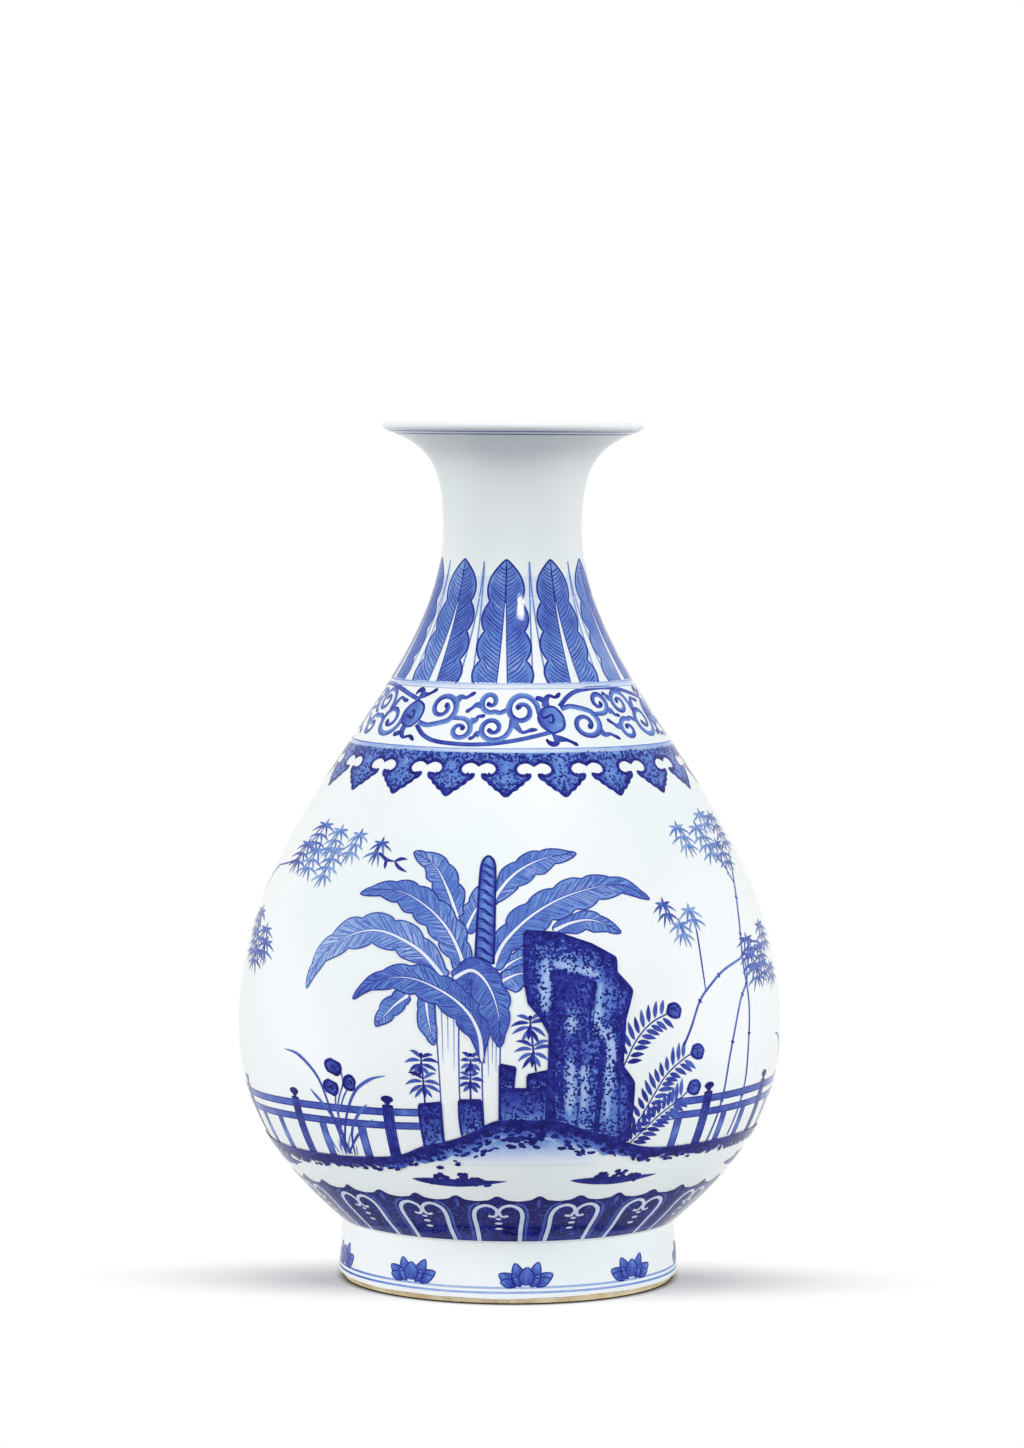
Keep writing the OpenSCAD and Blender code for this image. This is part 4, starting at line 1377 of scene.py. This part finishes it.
lotus = {
    "count": 9, "turn": 6.0, "ground": 6.2, "rings": [(5.4, 0.75, 0.5), (3.8, 0.75, 0.56)],
    "petals": [  # start along the ground, heading, length and width
        (-4.0, 154, 7.0, 4.2), (4.2, 26, 7.0, 4.2), (-2.4, 112, 7.2, 4.2), (2.8, 66, 7.6, 4.0),
        (-5.6, 166, 4.6, 3.0), (5.6, 14, 4.6, 3.0), (-3.4, 122, 3.8, 3.0), (3.4, 58, 3.8, 3.0),
        (-1.6, 150, 3.8, 2.8), (1.6, 30, 3.8, 2.8), (0.0, 90, 5.6, 5.2),
    ],
    "layer": 0.7, "heartWide": 5.2, "heartLine": (2.0, 0.62),
    "edgeLine": (0.4, 0.86), "veinLine": (0.35, 0.8),
}
for z, width, tone in lotus["rings"]:
    ringLine("lotus_lines", z, width, toneRun(tone * 0.6, tone * 1.25, 3), 0.2, 0.06)


def petalStroke(u):  # blunt where it leaves the flower, pointed at its tip
    return max(0.06, math.sin(math.pi * (0.1 + 0.9 * u ** 0.9)) ** (0.7 if u < 0.5 else 0.9))


draw = random.Random(71)
for flower in range(lotus["count"]):
    turn = lotus["turn"] + 360 / lotus["count"] * flower
    heart = level(turn, lotus["heartWide"], lotus["ground"] + 0.9)
    brush("lotus_wash", heart, *lotus["heartLine"], -0.5, roundStroke, 0.6)
    for number, (s, angle, reach, width) in enumerate(lotus["petals"]):
        start, order = beside(turn, s * 0.7, lotus["ground"] + 0.4), lotus["layer"] * number
        wide, tall = scaleAt(start[1])
        way = math.radians(angle + draw.uniform(-6, 6))
        tip = (start[0] + math.cos(way) * reach / wide, start[1] + math.sin(way) * reach / tall)
        line = smoothPath([start, tip], 0.6)
        ribbon("lotus_wash", line, width, lambda u, v: 0.66 - 0.2 * u + 0.12 * abs(2 * v - 1), order, 4,
               petalStroke)
        for side in (-0.5, 0.5):
            edge = alongside(line, 14, lambda u: side * width * petalStroke(u))
            brush("lotus_lines", edge, *lotus["edgeLine"], order + 0.5, evenStroke, 0.8)
        for across in (-0.16, 0, 0.16):  # veins
            vein = [sideStep(line, t, across * width) for t in (0.05, 0.35, 0.7)]
            brush("lotus_lines", vein, *lotus["veinLine"], order + 0.4, tailStroke, 1.0)
print("foot painted")

# The back of the vase, which the photograph doesn't show, carries on with the same things
back = {
    "rock": {"at": 152, "shrink": 0.62, "middle": 24, "foot": 58, "base": 58.0},
    "groveStalks": [[(-150, 56), (-149, 90), (-146, 120), (-143, 150)],
                    [(-141, 55), (-142, 86), (-139, 116), (-141, 140)],
                    [(-128, 53), (-129, 82), (-133, 108), (-132, 132)]],
    "groveSprays": [(-143, 152), (-149, 150), (-137, 149), (-141, 143), (-147, 140), (-133, 136), (-128, 133),
                    (-138, 130), (-151, 128), (-144, 120), (-134, 118), (-127, 112), (-150, 108),
                    (-139, 104)],
    "fronds": [([(128, 56), (124, 66), (119, 75), (113, 82)], (112, 83.4), 11),
               ([(129, 56), (131, 68), (129, 80), (125, 91)], (124.6, 92.6), 11),
               ([(176, 57), (181, 68), (186, 76), (192, 82)], (193, 83.4), 10)],
    "plantlets": [(-112, 74), (-116, 66), (104, 76), (-168, 72), (-163, 80)],
    "blades": [[(86, 54), (84.5, 70), (80.5, 83), (75.5, 86.3)], [(88, 54), (89, 70), (93, 80), (99, 83)],
               [(87, 54), (87.5, 66), (85.5, 77)]],
}


def backPlace(points):
    form = back["rock"]
    return [beside(form["at"], (s - form["middle"]) * form["shrink"],
                   form["base"] + (z - form["foot"]) * form["shrink"]) for s, z in points]


drawRock(backPlace, draw, rock["dots"] // 2)
for path in back["groveStalks"]:
    drawStalk(path, draw, bamboo["width"] * 1.3)
for number, (a, z) in enumerate(back["groveSprays"]):
    drawTuft(a, z, 3, number % 3 == 0, draw, 6 + 0.5 * (number % bamboo["layers"]))
for stem, flower, pairs in back["fronds"]:
    drawFrond(stem, flower, pairs, draw)
for a, z in back["plantlets"]:
    tier((a, z), 6.0, draw, 5)
    stem = [(a, z), (a + 0.5, groundTop(((a + 180) % 360) - 180))]
    brush("plant_lines", stem, *plants["stemLine"], 4.8, evenStroke)
for path in back["blades"]:
    brush("plant_lines", path, 1.2, lambda u, v: 0.84 - 0.3 * u, 4.5, grassStroke)
print("back painted")


def layOnVase(name, paint, material):
    for face in paint.faces:
        face.normal_update()
        face.smooth = True
        if face.normal.z < 0:
            face.normal_flip()
    spread = paint.loops.layers.uv.new("OFBake")
    angles = [v.co.x for v in paint.verts]
    heights = [v.co.y for v in paint.verts]
    left, low = min(angles), min(heights)
    wide, tall = max(angles) - left, max(heights) - low
    for face in paint.faces:
        for corner in face.loops:
            corner[spread].uv = ((corner.vert.co.x - left) / wide, (corner.vert.co.y - low) / tall)
    normals = []
    for vert in paint.verts:
        a, z, lift = vert.co
        radius, slope = profileAt(z)
        right, ahead = math.sin(math.radians(a)), -math.cos(math.radians(a))
        out = Vector((right, ahead, -slope)).normalized()
        vert.co = (Vector((radius * right, radius * ahead, z)) + lift * out) * mm
        normals.append(out)
    piece = addObject(name, paint, material)
    piece.data.normals_split_custom_set_from_vertices(normals)
    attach(piece, "root")


for name, paint in paints.items():
    washed = name.endswith(("_wash", "_ribs", "_reserves"))
    layOnVase(name, paint, cobaltWash if washed else cobaltLine)
print("painting laid on the glaze")

stage = {
    "floor": 0.3, "bounce": "#dcdcdc", "shadowWide": 140.0, "shadowDeep": 44.0, "shadowAhead": 13.0,
    # These colours make a painted contact shadow, dark at the foot and fading to the paper's colour a few
    # millimetres out
    "paintedContactShadow": [(0.0, "#34322e"), (0.3, "#82817e"), (0.7, "#c6c6c6"), (1.0, "#d6d6d6")],
    "contactFrom": 55.2, "contactTo": 59.0, "contactAhead": 2.5, "fadeFrom": 0.2, "fadeTo": 1.1,
}


def directRays(tree):  # one for rays from the camera, from gloss and through glass
    rays = addNode(tree, "ShaderNodeLightPath")
    seen = addNode(tree, "ShaderNodeMath", {
        0: rays.outputs["Is Camera Ray"], 1: rays.outputs["Is Glossy Ray"]}, operation="MAXIMUM")
    direct = addNode(tree, "ShaderNodeMath", {
        0: seen.outputs["Value"], 1: rays.outputs["Is Transmission Ray"]}, operation="MAXIMUM")
    return direct.outputs["Value"]


def makeFloor():  # white paper that keeps the real shadow near the foot, has a painted contact shadow in a dark ring just round the foot, and fades into the white round it
    material, tree, shader = newMaterial("whitePaper")
    direct = directRays(tree)
    coords = addNode(tree, "ShaderNodeTexCoord")
    # Painted contact shadow: the paper's colour darkens in a ring just round the foot
    ahead = addNode(tree, "ShaderNodeVectorMath", {
        0: coords.outputs["Object"], 1: (0, stage["contactAhead"] * mm, 0)}, operation="ADD")
    reach = addNode(tree, "ShaderNodeVectorMath", {0: ahead.outputs["Vector"]}, operation="LENGTH")
    near = addNode(tree, "ShaderNodeMapRange", {
        "Value": reach.outputs["Value"],
        "From Min": stage["contactFrom"] * mm, "From Max": stage["contactTo"] * mm})
    paintedContactShadow = addNode(tree, "ShaderNodeValToRGB", {"Fac": near.outputs["Result"]})
    setStops(paintedContactShadow, stage["paintedContactShadow"])
    colour = addNode(tree, "ShaderNodeMix", {
        "Factor": direct, "A": linear(stage["bounce"]), "B": paintedContactShadow.outputs["Color"]}, data_type="RGBA")
    tree.links.new(colour.outputs["Result"], shader.inputs["Base Color"])
    shader.inputs["Roughness"].default_value = 1.0
    shader.inputs["Specular IOR Level"].default_value = 0.0
    moved = addNode(tree, "ShaderNodeVectorMath", {
        0: coords.outputs["Object"], 1: (0, stage["shadowAhead"] * mm, 0)}, operation="ADD")
    squeezed = addNode(tree, "ShaderNodeVectorMath", {
        0: moved.outputs["Vector"], 1: (1 / (stage["shadowWide"] * mm), 1 / (stage["shadowDeep"] * mm), 1)},
        operation="MULTIPLY")
    away = addNode(tree, "ShaderNodeVectorMath", {0: squeezed.outputs["Vector"]}, operation="LENGTH")
    fade = addNode(tree, "ShaderNodeMapRange", {
        "Value": away.outputs["Value"], "From Min": stage["fadeFrom"], "From Max": stage["fadeTo"]},
        interpolation_type="SMOOTHSTEP")
    # The white glow is kept off the painted contact shadow, so that the dark ring shows in front of the foot
    # too
    clear = addNode(tree, "ShaderNodeMath", {
        0: fade.outputs["Result"], 1: near.outputs["Result"]}, operation="MULTIPLY")
    share = addNode(tree, "ShaderNodeMath", {0: clear.outputs["Value"], 1: direct}, operation="MULTIPLY")
    white = addNode(tree, "ShaderNodeEmission", {"Color": (1, 1, 1, 1), "Strength": 1.0})
    mixed = addNode(tree, "ShaderNodeMixShader", {
        0: share.outputs["Value"], 1: shader.outputs["BSDF"], 2: white.outputs["Emission"]})
    tree.links.new(mixed.outputs["Shader"], tree.nodes["Material Output"].inputs["Surface"])
    bm = bmesh.new()
    bmesh.ops.create_grid(bm, x_segments=1, y_segments=1, size=stage["floor"])
    floor = addObject("floor", bm, material)


makeFloor()

light = {"key": (0.0, -0.3, 0.954), "dim": 0.03, "bright": 0.5, "behind": -0.15, "ahead": 0.3}


def makeWorld():  # a white tent, bright above and dark below
    world = bpy.data.worlds.new("studio")
    scene.world = world
    world.use_nodes = True
    tree = world.node_tree
    coords = addNode(tree, "ShaderNodeTexCoord")
    facing = addNode(tree, "ShaderNodeVectorMath", {0: coords.outputs["Generated"], 1: light["key"]},
                     operation="DOT_PRODUCT")
    ramp = addNode(tree, "ShaderNodeMapRange", {
        "Value": facing.outputs["Value"], "From Min": light["behind"], "From Max": light["ahead"],
        "To Min": light["dim"], "To Max": light["bright"]}, interpolation_type="SMOOTHSTEP")
    seen = addNode(tree, "ShaderNodeMix", {
        "Factor": directRays(tree), "A": ramp.outputs["Result"], "B": 1.0}, data_type="FLOAT")
    tree.links.new(seen.outputs["Result"], tree.nodes["Background"].inputs["Strength"])
    tree.nodes["Background"].inputs["Color"].default_value = (1, 1, 1, 1)


makeWorld()

boxes = [  # name, place, target, width, height, power, spread of the beam in degrees, glint or shade
    ("windowBox", (0.076, -0.341, 0.475), (0.006, -0.03, 0.236), 0.06, 0.055, 0.02, 24, "glint"),
    ("leftBox", (-1.2, -0.6, 0.7), (0, 0, 0.15), 0.8, 0.9, 13.2, 180, "shade"),
    ("rightBox", (1.2, -0.6, 0.7), (0, 0, 0.15), 0.8, 0.9, 13.2, 180, "shade"),
    ("topBox", (0, -0.15, 1.6), (0, 0, 0), 1.0, 1.0, 2.0, 180, "shade"),
    ("lowBox", (0, -0.9, 0.06), (0, 0, 0.01), 0.5, 0.1, 0.025, 30, "shade"),
]
for name, place, target, width, height, power, spread, part in boxes:
    data = bpy.data.lights.new(name, "AREA")
    data.shape = "RECTANGLE"
    data.size, data.size_y, data.energy = width, height, power
    data.spread = math.radians(spread)
    lamp = bpy.data.objects.new(name, data)
    lamp.location = place
    lamp.visible_glossy = part == "glint"
    lamp.visible_diffuse = part == "shade"
    lamp.rotation_euler = (Vector(target) - Vector(place)).to_track_quat("-Z", "Y").to_euler()
    scene.collection.objects.link(lamp)

# Camera at the photograph's height and distance, tipped down a little and rolled by a hair
view = {"place": (-0.0004, -1.585, 0.2885), "tip": 3.633, "roll": -0.37, "lens": 116.45, "sensor": 36.0}
cameraData = bpy.data.cameras.new("camera")
cameraData.lens = view["lens"]
cameraData.sensor_width = view["sensor"]
camera = bpy.data.objects.new("camera", cameraData)
camera.location = view["place"]
camera.rotation_euler = (math.radians(90 - view["tip"]), math.radians(view["roll"]), 0)
scene.collection.objects.link(camera)
scene.camera = camera
scene.view_settings.view_transform = "Standard"
print("stage, lights and camera set")
